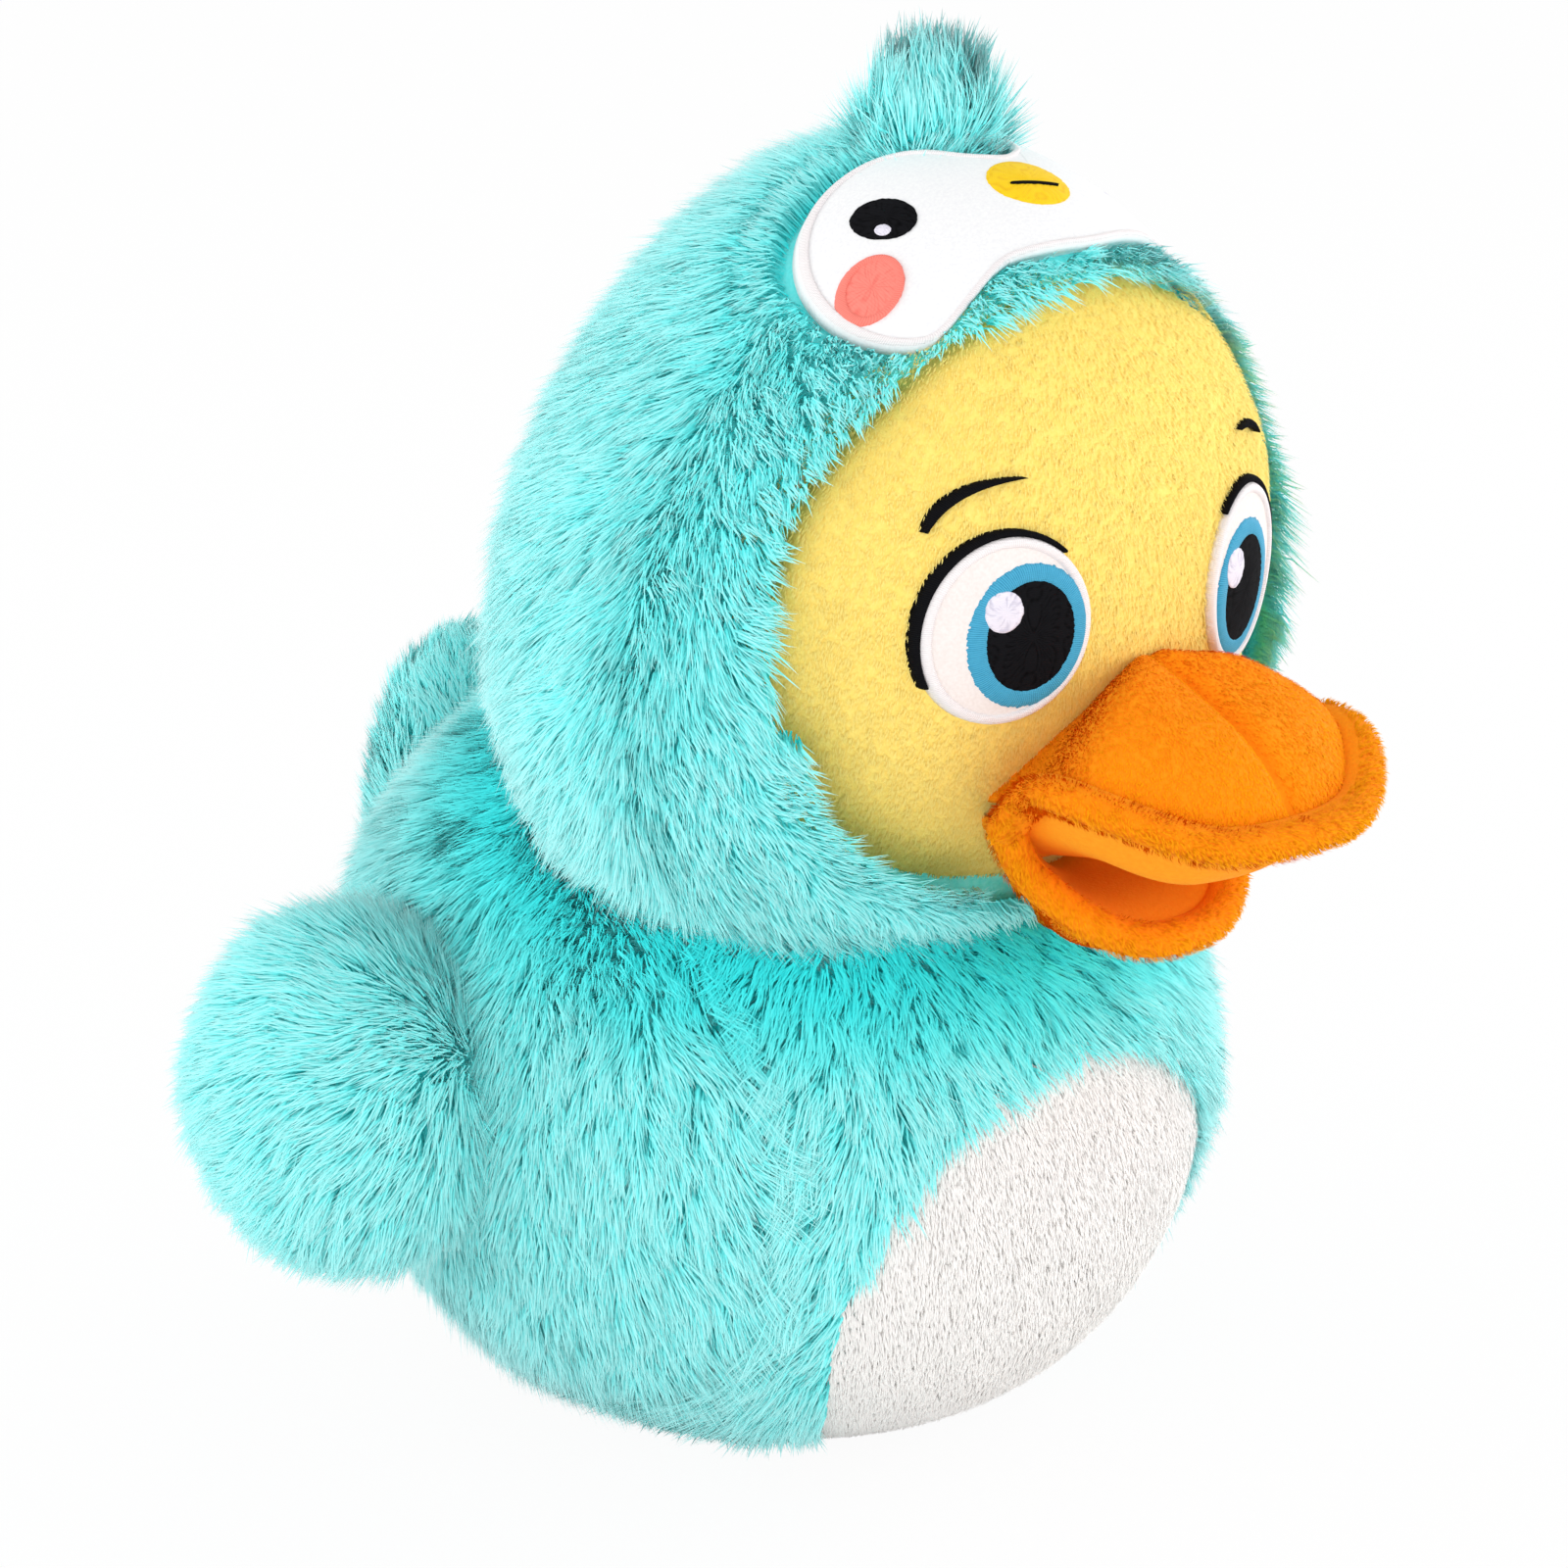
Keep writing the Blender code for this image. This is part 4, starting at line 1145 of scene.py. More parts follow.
@dataclass
class BodyFur:
    """The body's skin and its long fur."""

    belly: BellyPanel
    wings: Sequence[Wing]
    base_half: Pair = (0.038, 0.043)
    seam_x: float = 0.0615
    seam_reach: float = 0.016
    seam_pull: float = 1.1
    sides_from: float = 0.02
    front_until: float = 0.01
    ground_z: float = 0.022
    upright_z: float = 0.100
    belly_reach: float = 1.16
    under_hood: float = 0.86
    under_wing: float = 0.62
    pale: float = 1.22
    hood_shade: float = 1.02

    skin_share = 0.936

    def seat(self, points: Array) -> Array:
        """Set the skin's underside flat on the ground, round the base panel."""
        over_base = np.hypot(points[:, 0] / self.base_half[0], points[:, 1] / self.base_half[1]) < 1
        return columns(*points.T[:2], np.maximum(points[:, 2], np.where(over_base, 0.0034, 0.0012)))

    def flow(self, roots: Array, low: Array) -> Array:
        """Which way the fur leans: down, over the seams beside the chest, and outwards at the ground.

        Args:
            roots: Places on the skin.
            low: How near the ground they are, from 0 to 1.

        Returns:
            One direction for each.
        """
        x, y, _ = roots.T
        flow = columns(x * 3, (y - 0.02) * 4, -1.0)
        for sign in (-1, 1):
            beside = x * sign - self.seam_x
            pull = hill(beside, self.seam_reach) * (y < 0.0) * (sign * x > 0)
            flow[:, 0] += -np.sign(beside) * sign * pull * self.seam_pull
        return mixed(flow, unit(columns(x, y, 0.0)) - 0.2 * UP, low)

    def build(self) -> None:
        """Make the skin and the fur."""
        skin = BODY.skin("body_skin", 96, 60, self.skin_share, self.seat)
        finish_piece(skin, AQUA_BACKING, "body", ["body_cover"])
        _, roots, normals = BODY.scatter(LONG_PILE.density, self.skin_share, 1)
        kept = (self.belly.reach(roots) > 0.99) & (roots[:, 2] > 0.0018)
        kept &= HOOD.depth(roots) > self.under_hood
        for wing in self.wings:
            kept &= wing.form.depth(roots) > self.under_wing
        roots, normals = roots[kept], normals[kept]
        low = falling(roots[:, 2], self.ground_z, 0.02)
        rim = falling(self.belly.reach(roots), self.belly_reach, 0.14)
        flow = self.flow(roots, low)
        scale = (1 - 0.35 * low) * (1 - 0.20 * rim)
        upright = 0.35 * rising(roots[:, 2], self.upright_z, 0.03) * (1 - rim)
        # Strands under the hood keep more of their darker root colour: painted shade under the hood.
        pale = self.pale - self.hood_shade * hill(np.maximum(HOOD.depth(roots) - 1, 0), 0.20)
        right, left = roots[:, 0] < -self.sides_from, roots[:, 0] > self.sides_from
        front = roots[:, 1] < self.front_until
        material = AQUA_PILE.material()
        for name, part, seed in (("right_front", right & front, 10), ("right_rear", right & ~front, 9),
                                 ("left_front", left & front, 9), ("left_rear", left & ~front, 8),
                                 ("middle", ~(right | left), 5)):
            fur = grow(f"body_fur_{name}", roots[part], normals[part], flow[part], LONG_PILE, seed,
                       scale[part], upright[part], pale[part])
            finish_piece(fur, AQUA_PILE, "body", material=material)


@dataclass
class PatchPlane:
    """The hood patch's own tilted plane: across is X, up is along the patch."""

    forward_share: float = 0.38
    tilt: float = math.radians(37)

    @property
    def matrix(self) -> Matrix:
        """The plane's place.

        Returns:
            The matrix from the plane to the frame.
        """
        rise = math.sqrt(1 - self.forward_share ** 2)
        middle = HOOD.surface(np.array([[0, -self.forward_share, rise]]))[0]
        return Matrix.Translation(Vector(middle)) @ Matrix.Rotation(self.tilt, 4, "X")

    def flat(self, points: Array) -> Array:
        """Points in the plane's own across, up and out."""
        back = np.array(self.matrix.inverted())
        return points @ back[:3, :3].T + back[:3, 3]

    def onto(self, across: Array, up: Array, lift: float = 0.0) -> Array:
        """Places over the hood's full shape, found from places in the plane.

        Args:
            across: Across.
            up: Up along the patch.
            lift: Height over the hood's full shape.

        Returns:
            The places.
        """
        place = np.array(self.matrix)
        out = np.zeros_like(across)
        for _ in range(12):
            points = columns(across, up, out) @ place[:3, :3].T + place[:3, 3]
            out = out + (1 + lift / HOOD.half_width - HOOD.depth(points)) * HOOD.half_width
        return points

    def recessed(self, across: Array, up: Array, lift: float) -> Array:
        """Places over the patch's velour, which lies below the fur."""
        return self.onto(across, up, lift - 0.0013)


@dataclass
class Hood:
    """Furry hood with its face opening, its patch and its tuft."""

    plane: PatchPlane = field(default_factory=PatchPlane)
    skin_share: float = 0.932
    fold_depth: float = 0.90
    fold_share: float = 0.87
    chin_fold: float = 0.04
    root_lift: float = 0.008
    fringe_reach: float = 1.22
    fringe_width: float = 0.18
    fringe_depth: float = 0.995
    fringe_share: float = 0.965
    over_body: float = 0.965
    parting_y: float = 0.12
    chin_z: float = 0.185
    chin_half: float = 0.026
    chin_cut: float = 0.42
    fringe_cut: float = 0.32
    cut_z: float = 0.200
    ring_width: float = 0.0045
    ring_lean: float = 0.55
    ring_upright: float = 0.30
    ring_length: float = 0.62
    lobe_across: float = 0.0268
    lobe_half: Pair = (0.0186, 0.0264)
    lobe_drop: float = 0.0016
    lobe_tilt: float = math.radians(25)
    lobe_turn: Pair = (math.radians(-90), math.radians(128))
    bridge_drop: float = 0.0198
    notch_rise: float = 0.0082
    bow: Pair = (0.0200, -0.0172)
    rim_inset: float = 0.0008
    rim_width: float = 0.0014
    tuft_half: Triple = (0.0128, 0.0110, 0.0120)
    # The tuft's strands run further to their pale tips than the body's fur: painted light.
    tuft_pale: float = 1.35

    def outline(self, grow_by: float = 0.0) -> Array:
        """The patch's outline: two tilted lobes joined by a bridge with a notch above it.

        Args:
            grow_by: How much larger than the patch.

        Returns:
            Points in the patch's plane, anticlockwise.
        """
        half = (self.lobe_half[0] + grow_by, self.lobe_half[1] + grow_by)
        lobe = oval(np.linspace(*self.lobe_turn, 22), half, (self.lobe_across, -self.lobe_drop),
                    self.lobe_tilt)
        lobe = lobe[lobe[:, 0] > self.lobe_half[0] / 4]
        notch = np.array([[0, self.notch_rise + grow_by]])
        bridge = np.array([[0, -self.bridge_drop - grow_by]])
        bow = np.array([[self.bow[0], self.bow[1] - grow_by]])
        return np.concatenate((bow, lobe, notch, lobe[::-1] * (-1, 1), bow * (-1, 1), bridge))

    def edge(self, count: int, grow_by: float = 0.0) -> Array:
        """The patch's outline at even steps, its corners softened.

        Args:
            count: Points.
            grow_by: How much larger than the patch.

        Returns:
            Points in the patch's plane.
        """
        line = self.outline(grow_by)
        line = np.concatenate((line, line[:1]))
        run = run_of(line)
        even = sampled(line, run, np.linspace(0, run[-1], count, endpoint=False))
        for _ in range(max(2, count // 40)):
            even = (np.roll(even, 1, axis=0) + even * 2 + np.roll(even, -1, axis=0)) / 4
        return even

    def within(self, points: Array, grow_by: float) -> Array:
        """Whether places lie over the patch.

        Args:
            points: Places.
            grow_by: How much larger than the patch.

        Returns:
            One truth for each place.
        """
        x, y, out = self.plane.flat(points).T
        line = self.outline(grow_by)
        inside = np.zeros(len(points), dtype=bool)
        for (x1, y1), (x2, y2) in zip(line, np.roll(line, -1, axis=0)):
            where = x1 + (y - y1) * (x2 - x1) / (y2 - y1 if y2 != y1 else 1e-9)
            inside ^= ((y1 > y) != (y2 > y)) & (x < where)
        return inside & (out > -0.045)

    def tuck(self, points: Array) -> Array:
        """Fold the skin into the head at the face opening, and keep it off the body.

        Args:
            points: Places on the skin.

        Returns:
            The places.
        """
        edge = 1.00 + self.chin_fold * falling(points[:, 2], 0.175, 0.015)
        fold = falling(OPENING.reach(points), edge, 0.05) * OPENING.faces(points)
        deep = HOOD.at_most(HEAD_SHELL.onto(points, self.fold_depth), self.fold_share)
        return outside_body(points + (deep - points) * fold[:, None], 0.0025)

    def build(self) -> None:
        """Make the skin, the fur, the patch and the tuft."""
        skin = HOOD.skin("hood_skin", 140, 90, self.skin_share, self.tuck)
        finish_piece(skin, AQUA_BACKING, "head", ["hood_cover"])
        self.build_fur()
        self.build_patch()
        self.build_tuft()

    def over_face(self, roots: Array, reach: Array) -> Array:
        """Lift roots by the face opening onto the head, so that the fringe hangs over the face.

        Args:
            roots: Places on the hood's skin.
            reach: How far out of the opening they lie.

        Returns:
            The places.
        """
        want = np.maximum(self.fringe_depth / np.maximum(HEAD_SHELL.depth(roots), TINY), 1)
        near = falling(reach, 1.13, 0.10) * OPENING.faces(roots)
        lifted = HEAD_SHELL.surface(HEAD_SHELL.shares(roots) * (1 + (want - 1) * near)[:, None])
        return HOOD.at_most(lifted, self.fringe_share)

    def flow(self, roots: Array, normals: Array, share: Array, reach: Array, front: Array) -> Array:
        """Which way the fur leans: from a parting over the crown, and in over the face at the rim.

        Args:
            roots: Where strands start.
            normals: The skin's normals there.
            share: The hood's unit-ball places there.
            reach: How far out of the opening they lie.
            front: Whether they are in front.

        Returns:
            One direction for each.
        """
        parting = np.tanh((share[:, 1] + self.parting_y + 0.05 * waves(roots, 0.05, 52)) / 0.14)
        flow = flat_to(columns(0.0, 0.10 + 0.55 * parting, -1.0), normals)
        inward = OPENING.inward(roots)
        by_rim = falling(reach, self.fringe_reach, self.fringe_width) * front
        over = by_rim * (0.25 + 0.75 * rising(roots[:, 2], 0.175, 0.05))
        flow = flow * (1 - 0.6 * over)[:, None] + inward * (0.9 * over)[:, None]
        return mixed(flow, inward, falling(reach, 1.04, 0.08) * front * falling(roots[:, 2], 0.192, 0.020))

    def build_fur(self) -> None:
        """Grow the hood's fur."""
        _, roots, normals = HOOD.scatter(LONG_PILE.density, self.skin_share + self.root_lift, 51)
        front, reach = OPENING.faces(roots), OPENING.reach(roots)
        roots = self.over_face(roots, reach)
        low = roots[:, 2] < self.chin_z
        kept = ~((reach < np.where(low, 0.925, 0.960)) & front)
        kept &= ~((reach < 1.01) & front & (np.abs(roots[:, 0]) < self.chin_half) & low)
        kept &= (BODY.depth(roots) > self.over_body) & ~self.within(roots, 0.0002)
        roots, normals, front, reach = roots[kept], normals[kept], front[kept], reach[kept]
        share = HOOD.shares(roots)
        flow = self.flow(roots, normals, share, reach, front)
        flat = self.plane.flat(roots)
        away = columns(flat[:, 0] - np.sign(flat[:, 0]) * self.lobe_across * 0.8, flat[:, 1], 0.0)
        near = falling(np.linalg.norm(away, axis=1), 0.044, 0.012) * (flat[:, 2] > -0.03)
        ring = self.within(roots, self.ring_width)
        from_patch = unit(away) @ np.array(self.plane.matrix)[:3, :3].T
        flow = mixed(flow, from_patch, np.where(ring, self.ring_lean, 0.25 * near))
        by_rim = falling(reach, self.fringe_reach, self.fringe_width) * front
        upright = 0.30 * hill(share[:, 1] + self.parting_y, 0.12) * (share[:, 2] < 0.6)
        upright = np.where(ring, self.ring_upright, upright)
        chin = by_rim * falling(roots[:, 2], self.cut_z, 0.03)
        scale = np.where(ring, self.ring_length, 1.0) * (1 - self.chin_cut * chin)
        scale *= 1 - self.fringe_cut * by_rim * rising(roots[:, 2], self.cut_z, 0.03)
        # Strands in a band over the hood's upper part, a little in front of its middle, keep more of their
        # darker root colour: painted shade.
        pale = 1.30 - 0.34 * hill(share[:, 1] + 0.20, 0.34) * rising(roots[:, 2], 0.150, 0.04)
        right, fore = roots[:, 0] < 0, roots[:, 1] < HOOD.middle_y
        material = AQUA_PILE.material()
        groups = {"right_front": right & fore, "left_front": ~right & fore,
                  "right_rear": right & ~fore, "left_rear": ~right & ~fore}
        for seed, (name, part) in enumerate(groups.items(), 61):
            fur = grow(f"hood_fur_{name}", roots[part], normals[part], flow[part], LONG_PILE, seed,
                       scale[part], upright[part], pale[part])
            finish_piece(fur, AQUA_PILE, "head", material=material)

    def build_patch(self) -> None:
        """Make the white velour patch with its rolled, stitched edge."""
        count, rings = 160, 14
        line = self.edge(count)
        rows = [self.plane.onto(*line.T, -0.0034)]
        for share in np.arange(rings, 0, -1) / rings:
            rows.append(self.plane.onto(*(line * share).T, -0.0015 + 0.0004 * (1 - share)))
        rows.append(self.plane.onto(np.zeros(1), np.zeros(1), -0.0011))
        faces = grid_faces(rings + 1, count, True) + fan(rings * count, count, (rings + 1) * count)
        faces.append(tuple(range(count - 1, -1, -1)))
        patch = mesh_object("hood_patch_velour", np.concatenate(rows), faces)
        finish_piece(patch, WHITE_VELOUR, "head", ["hood_patch"])
        Embroidery(self.plane.recessed).band(
            "hood_patch_rim", WHITE_THREAD, self.edge(count, -self.rim_inset), self.rim_width,
            -0.0001, 0.0004, True, 0.02, 21)

    def build_tuft(self) -> None:
        """Make the upright tuft of longer fur on the crown."""
        crown = HOOD.surface(UP[None, :])[0]
        form = Ellipsoid((0.0, crown[1] + 0.001, crown[2] - 0.002), self.tuft_half)
        core = form.skin("hood_tuft_skin", 28, 18, 0.8)
        finish_piece(core, AQUA_BACKING, "head", ["hood_tuft"])
        _, roots, normals = form.scatter(LONG_PILE.density * 1.3, 0.82, 72)
        kept = roots[:, 2] > crown[2] - 0.010
        roots, normals = roots[kept], normals[kept]
        flow = UP + waves(roots, 0.008, 71)[:, None] * (0.3, 0.3, 0)
        longer = replace(LONG_PILE, length=LONG_PILE.length * 1.15, lean=0.86, clump=0.006, pull=0.5)
        fur = grow("hood_tuft_fur", roots, normals, flow, longer, 73,
                   stand=0.85 * rising(normals[:, 2], 0.5, 0.35), pale=self.tuft_pale)
        finish_piece(fur, AQUA_PILE, "head")


@dataclass
class Embroidery:
    """Raised stitching on a surface, made from flat outlines."""

    place: Callable[[Array, Array, float], Array]
    stitch: float = 0.0004
    skirt: float = 0.0016
    step_round: float = 0.0006
    step_out: float = 0.0009
    disc_ridge: float = 0.00010
    band_ridge: float = 0.00009

    def raised(self, u: Array, v: Array, height: Array | float) -> Array:
        """Places at unlike heights over the surface.

        Args:
            u: Across.
            v: Up.
            height: Height of each.

        Returns:
            The places.
        """
        low = self.place(u, v, 0.0)
        return low + (self.place(u, v, STEP) - low) * (np.asarray(height) / STEP)[..., None]

    def sewn(self, name: str, finish: Finish, points: Array, faces: list[Face], mapped: Array,
             hides: str) -> None:
        """Finish one sewn piece.

        Args:
            name: The piece's name.
            finish: Its thread or cloth.
            points: Its vertices.
            faces: Its faces.
            mapped: Its stitch map.
            hides: The CAD node it stands for, or nothing.
        """
        finish_piece(mesh_object(name, points, faces, mapped), finish, "head", [hides] if hides else ())

    def disc(self, name: str, finish: Finish, middle: Pair, half: Pair, lift: float, dome: float,
             turn: float = 0.0, rows: Optional[float] = None, ragged: float = 0.0, seed: int = 0,
             hides: str = "") -> None:
        """A filled oval, its threads in parallel rows.

        Args:
            name: The piece's name.
            finish: Its thread or cloth.
            middle: Its middle in the surface's plane.
            half: Its half sizes.
            lift: Height of its edge.
            dome: How much higher its middle is.
            turn: How far it is turned.
            rows: Direction of its rows in degrees, or None for smooth cloth.
            ragged: How uneven its edge is.
            seed: Which random draw.
            hides: The CAD node it stands for.
        """
        turns = int(np.clip(math.tau * max(half) / self.step_round, 36, 190))
        rings = int(np.clip(max(half) / self.step_out, 4, 20))
        wobble = ragged * np.random.default_rng(seed).normal(size=turns)
        places = [self.raised(*oval(around(turns), half, middle, turn, 1 + wobble).T, lift - self.skirt)]
        maps = [np.full((turns, 2), 0.2)]
        for share in np.append(1 - (np.arange(rings) / rings) ** 1.6, 0.0):
            u, v = oval(around(turns), half, middle, turn, share * (1 + wobble * share ** 6)).T
            height = lift + dome * (1 - share ** 2.2)
            high = np.full(turns, 0.5)
            if rows is not None:
                run = u * math.cos(math.radians(rows)) + v * math.sin(math.radians(rows)) + 0.5
                high = np.abs(np.sin(math.pi * run / self.stitch))
                height = height + self.disc_ridge * high
            places.append(self.raised(u, v, height))
            # The map's first number is the stitch's ridge height, which darkens the thread's colour in the
            # grooves: painted shade.
            maps.append(columns(high, share))
        faces = grid_faces(rings + 1, turns, True) + fan(rings * turns, turns, (rings + 1) * turns)
        faces.append(tuple(range(turns - 1, -1, -1)))
        points, mapped = (np.concatenate(part[:-1] + [part[-1][:1]]) for part in (places, maps))
        self.sewn(name, finish, points, faces, mapped, hides)

    def band(self, name: str, finish: Finish, line: Array, widths: Array | float, lift: float,
             rise: float, closed: bool, ragged: float, seed: int, hides: str = "") -> None:
        """A satin-stitched band along a line, its threads across it.

        Args:
            name: The piece's name.
            finish: Its thread.
            line: Points along its middle, in the surface's plane.
            widths: Its width, or its width at each point.
            lift: Height of its edges.
            rise: How much higher its middle is.
            closed: Whether it is a ring.
            ragged: How uneven its edges are, as a share of its width.
            seed: Which random draw.
            hides: The CAD node it stands for.
        """
        widths = np.broadcast_to(widths, len(line))
        if closed:
            line, widths = np.concatenate((line, line[:1])), np.append(widths, widths[0])
        run = run_of(line)
        stitches = int(run[-1] / self.stitch - TINY)
        count = stitches * 3
        at = np.linspace(0, run[-1], count, endpoint=not closed)
        middle = sampled(line, run, at)
        half = np.interp(at, run, widths) / 2
        ahead = np.roll(middle, -1, axis=0) - np.roll(middle, 1, axis=0)
        if not closed:
            ahead[0], ahead[-1] = middle[1] - middle[0], middle[-1] - middle[-2]
        side = unit(ahead)[:, ::-1] * (-1, 1)
        high = np.abs(np.sin(math.pi * np.arange(count) / 3))
        jag = np.repeat(np.random.default_rng(seed).normal(size=(stitches, 2)), 3, axis=0) * ragged
        places, maps = [], []
        for share in np.append(np.linspace(-1, 1, 7), (1, -1)):
            under = len(places) > 6
            edge = 1 + jag[:, 0 if share < 0 else 1] * abs(share) ** 3
            height = lift + rise * math.sqrt(max(1 - share ** 2, 0))
            height = height + self.band_ridge * high * (1 - share ** 4)
            flat = middle + side * (half * share * edge)[:, None]
            places.append(self.raised(*flat.T, lift - self.skirt if under else height))
            # The map's first number is the stitch's ridge height, which darkens the thread's colour in the
            # grooves: painted shade.
            maps.append(np.full((count, 2), 0.2) if under else columns(high, (share + 1) / 2))
        every = len(places)
        faces = grid_faces(every, count, closed, close=True)
        if not closed:
            ends = [tuple(row * count + step for row in range(every)) for step in (0, count - 1)]
            faces += [ends[0], ends[1][::-1]]
        self.sewn(name, finish, np.concatenate(places), faces, np.concatenate(maps), hides)


def inset(half: Pair, by: float) -> Pair:
    """Half sizes made smaller."""
    return half[0] - by, half[1] - by


@dataclass
class Eye:
    """One embroidered eye: cloth white with a satin border, iris, pupil, glint, lash and brow."""

    side: Side
    iris_inset: float
    iris_drop: float
    glint_shift: float = 0.0060
    across: float = 0.0337
    middle_z: float = 0.2028
    white_half: Pair = (0.0167, 0.0188)
    border: float = 0.0021
    iris_half: Pair = (0.0123, 0.0145)
    pupil_half: Pair = (0.0092, 0.0111)
    glint_half: Pair = (0.0037, 0.0041)
    glint_rise: float = 0.0056
    lash: float = 0.0016
    lash_turn: Pair = (math.radians(50), math.radians(211))
    brow: float = 0.0017
    brow_ends: tuple[Pair, ...] = ((0.0151, 0.0206), (0.0108, 0.0296), (-0.0044, 0.0296))

    @property
    def middle(self) -> Pair:
        """The eye's middle on the face."""
        return self.side.value * self.across, self.middle_z

    def covers(self, points: Array) -> Array:
        """Whether places on the face lie under the eye."""
        away = (points[:, ::2] - self.middle) / (np.array(self.white_half) + 0.0004)
        return np.hypot(*away.T) <= 1

    def build(self) -> None:
        """Sew the eye."""
        word, sign, middle = self.side.word, self.side.value, self.middle
        work = Embroidery(HEAD.front)
        iris = (middle[0] - sign * self.iris_inset, self.middle_z - self.iris_drop)
        glint = (iris[0] - self.glint_shift, iris[1] + self.glint_rise)
        ring = self.iris_half[0] - self.pupil_half[0] + 0.0008
        angle = around(90)
        work.disc(f"{word}_eye_white_cloth", EYE_CLOTH, middle, self.white_half, 0.0001, 0.0003,
                  hides=f"{word}_eye_white")
        work.band(f"{word}_eye_border", WHITE_THREAD,
                  oval(angle, inset(self.white_half, self.border / 2), middle), self.border,
                  0.0001, 0.0008, True, 0.03, 3)
        work.band(f"{word}_iris_ring", BLUE_THREAD, oval(angle, inset(self.iris_half, ring / 2), iris),
                  ring, 0.0004, 0.0005, True, 0.05, 4, f"{word}_iris")
        work.disc(f"{word}_pupil_stitching", BLACK_THREAD, iris, self.pupil_half, 0.0007, 0.0002,
                  0.0, 90, 0.006, 5, f"{word}_pupil")
        work.disc(f"{word}_glint_stitching", LILAC_THREAD, glint, self.glint_half, 0.0009, 0.0004,
                  0.0, 35, 0.010, 6, f"{word}_glint")
        half = (self.white_half[0] + self.lash / 2 - 0.0003, self.white_half[1] + self.lash / 2 - 0.0001)
        line = oval(np.linspace(*self.lash_turn, 60), half, (0.0, 0.0)) * (-sign, 1) + middle
        body = 0.30 + 0.70 * np.sin(math.pi * np.linspace(0.02, 0.98, 60)) ** 0.4
        work.band(f"{word}_lash_stitching", BLACK_THREAD, line, self.lash * body, 0.0, 0.0007,
                  False, 0.035, 7, f"{word}_lash")
        share = np.linspace(0, 1, 50)
        weights = columns((1 - share) ** 2, 2 * share * (1 - share), share ** 2)
        line = weights @ np.array(self.brow_ends) * (sign, 1) + middle
        body = 0.10 + 0.90 * np.sin(math.pi * share ** 0.8) ** 0.9
        work.band(f"{word}_brow_stitching", BLACK_THREAD, line, self.brow * body, 0.0, 0.0007,
                  False, 0.035, 8, f"{word}_brow")


@dataclass
class PatchFace:
    """The small face sewn on the hood patch."""

    plane: PatchPlane = field(default_factory=PatchPlane)
    eye_across: float = 0.0293
    eye_up: float = 0.0057
    eye_half: Pair = (0.0046, 0.0063)
    glint_half: Pair = (0.0011, 0.0016)
    glint_shift: float = 0.0022
    glint_drop: float = 0.0026
    far_shift: float = 0.0035
    cheek_across: float = 0.0399
    cheek_up: float = -0.0073
    cheek_half: Pair = (0.0052, 0.0076)
    cheek_turn: float = math.radians(30)
    cheek_rim: float = 0.0016
    bill_half: Pair = (0.0086, 0.0074)
    bill_middle: Pair = (-0.0025, -0.0012)
    bill_turn: float = math.radians(-18)
    mouth_half: float = 0.0052
    mouth_width: float = 0.0012

    def build(self) -> None:
        """Sew the small face."""
        work = Embroidery(self.plane.recessed)
        for side in Side:
            name, sign = f"patch_{side.word}", side.value
            far = self.far_shift if side is Side.LEFT else 0.0
            eye = (sign * self.eye_across + far, self.eye_up)
            glint = (eye[0] - self.glint_shift, self.eye_up - self.glint_drop)
            cheek = (sign * self.cheek_across + far, self.cheek_up)
            turn = sign * self.cheek_turn
            work.disc(f"{name}_eye_stitching", BLACK_THREAD, eye, self.eye_half, 0.0001, 0.0003,
                      0.0, 90, 0.008, 15, f"{name}_eye")
            work.disc(f"{name}_glint_stitching", LILAC_THREAD, glint, self.glint_half, 0.0004, 0.0003,
                      0.0, 0.0, 0.01, 16, f"{name}_glint")
            work.disc(f"{name}_cheek_stitching", PINK_THREAD, cheek, self.cheek_half, 0.0001, 0.0003,
                      turn, 15, 0.006, 17, f"{name}_cheek")
            rim = oval(around(90), inset(self.cheek_half, self.cheek_rim / 2), cheek, turn)
            work.band(f"{name}_cheek_rim", PINK_THREAD, rim, self.cheek_rim, 0.0001, 0.0005, True, 0.04, 20)
        work.disc("patch_bill_stitching", GOLD_THREAD, self.bill_middle, self.bill_half, 0.0001, 0.0005,
                  self.bill_turn, 72, 0.006, 18, "patch_bill")
        run = np.linspace(-1, 1, 30)
        line = turned(run * self.mouth_half, 0.0, self.bill_turn, self.bill_middle) - (0, 0.0012)
        work.band("patch_mouth_stitching", BLACK_THREAD, line,
                  self.mouth_width * (0.4 + 0.6 * np.sqrt(1 - run ** 2)), 0.0005, 0.0004,
                  False, 0.05, 19, "patch_mouth_line")


@dataclass
class Head:
    """Yellow plush head inside the hood."""

    eyes: Sequence[Eye]
    skin_share: float = 0.983
    nap_reach: float = 1.02
    nap: Pile = Pile(0.0013, 0.88, 0.00024, 2.2e6, 0.0018, 0.08)

    def build(self) -> None:
        """Make the skin and its short nap, which leaves the eyes bare."""
        skin = HEAD.skin("head_skin", 120, 80, self.skin_share, HEAD.under_hood)
        finish_piece(skin, YELLOW_BACKING, "head", ["head_cover"])
        _, roots, normals = HEAD.scatter(self.nap.density, self.skin_share, 81)
        kept = (roots[:, 1] < HEAD.middle_y) & (OPENING.reach(roots) < self.nap_reach)
        for eye in self.eyes:
            kept &= ~eye.covers(roots)
        roots, normals = roots[kept], normals[kept]
        nap = grow("face_nap", roots, normals, columns(roots[:, 0] * 8, 0.0, -1.0), self.nap, 82)
        finish_piece(nap, YELLOW_PILE, "head")


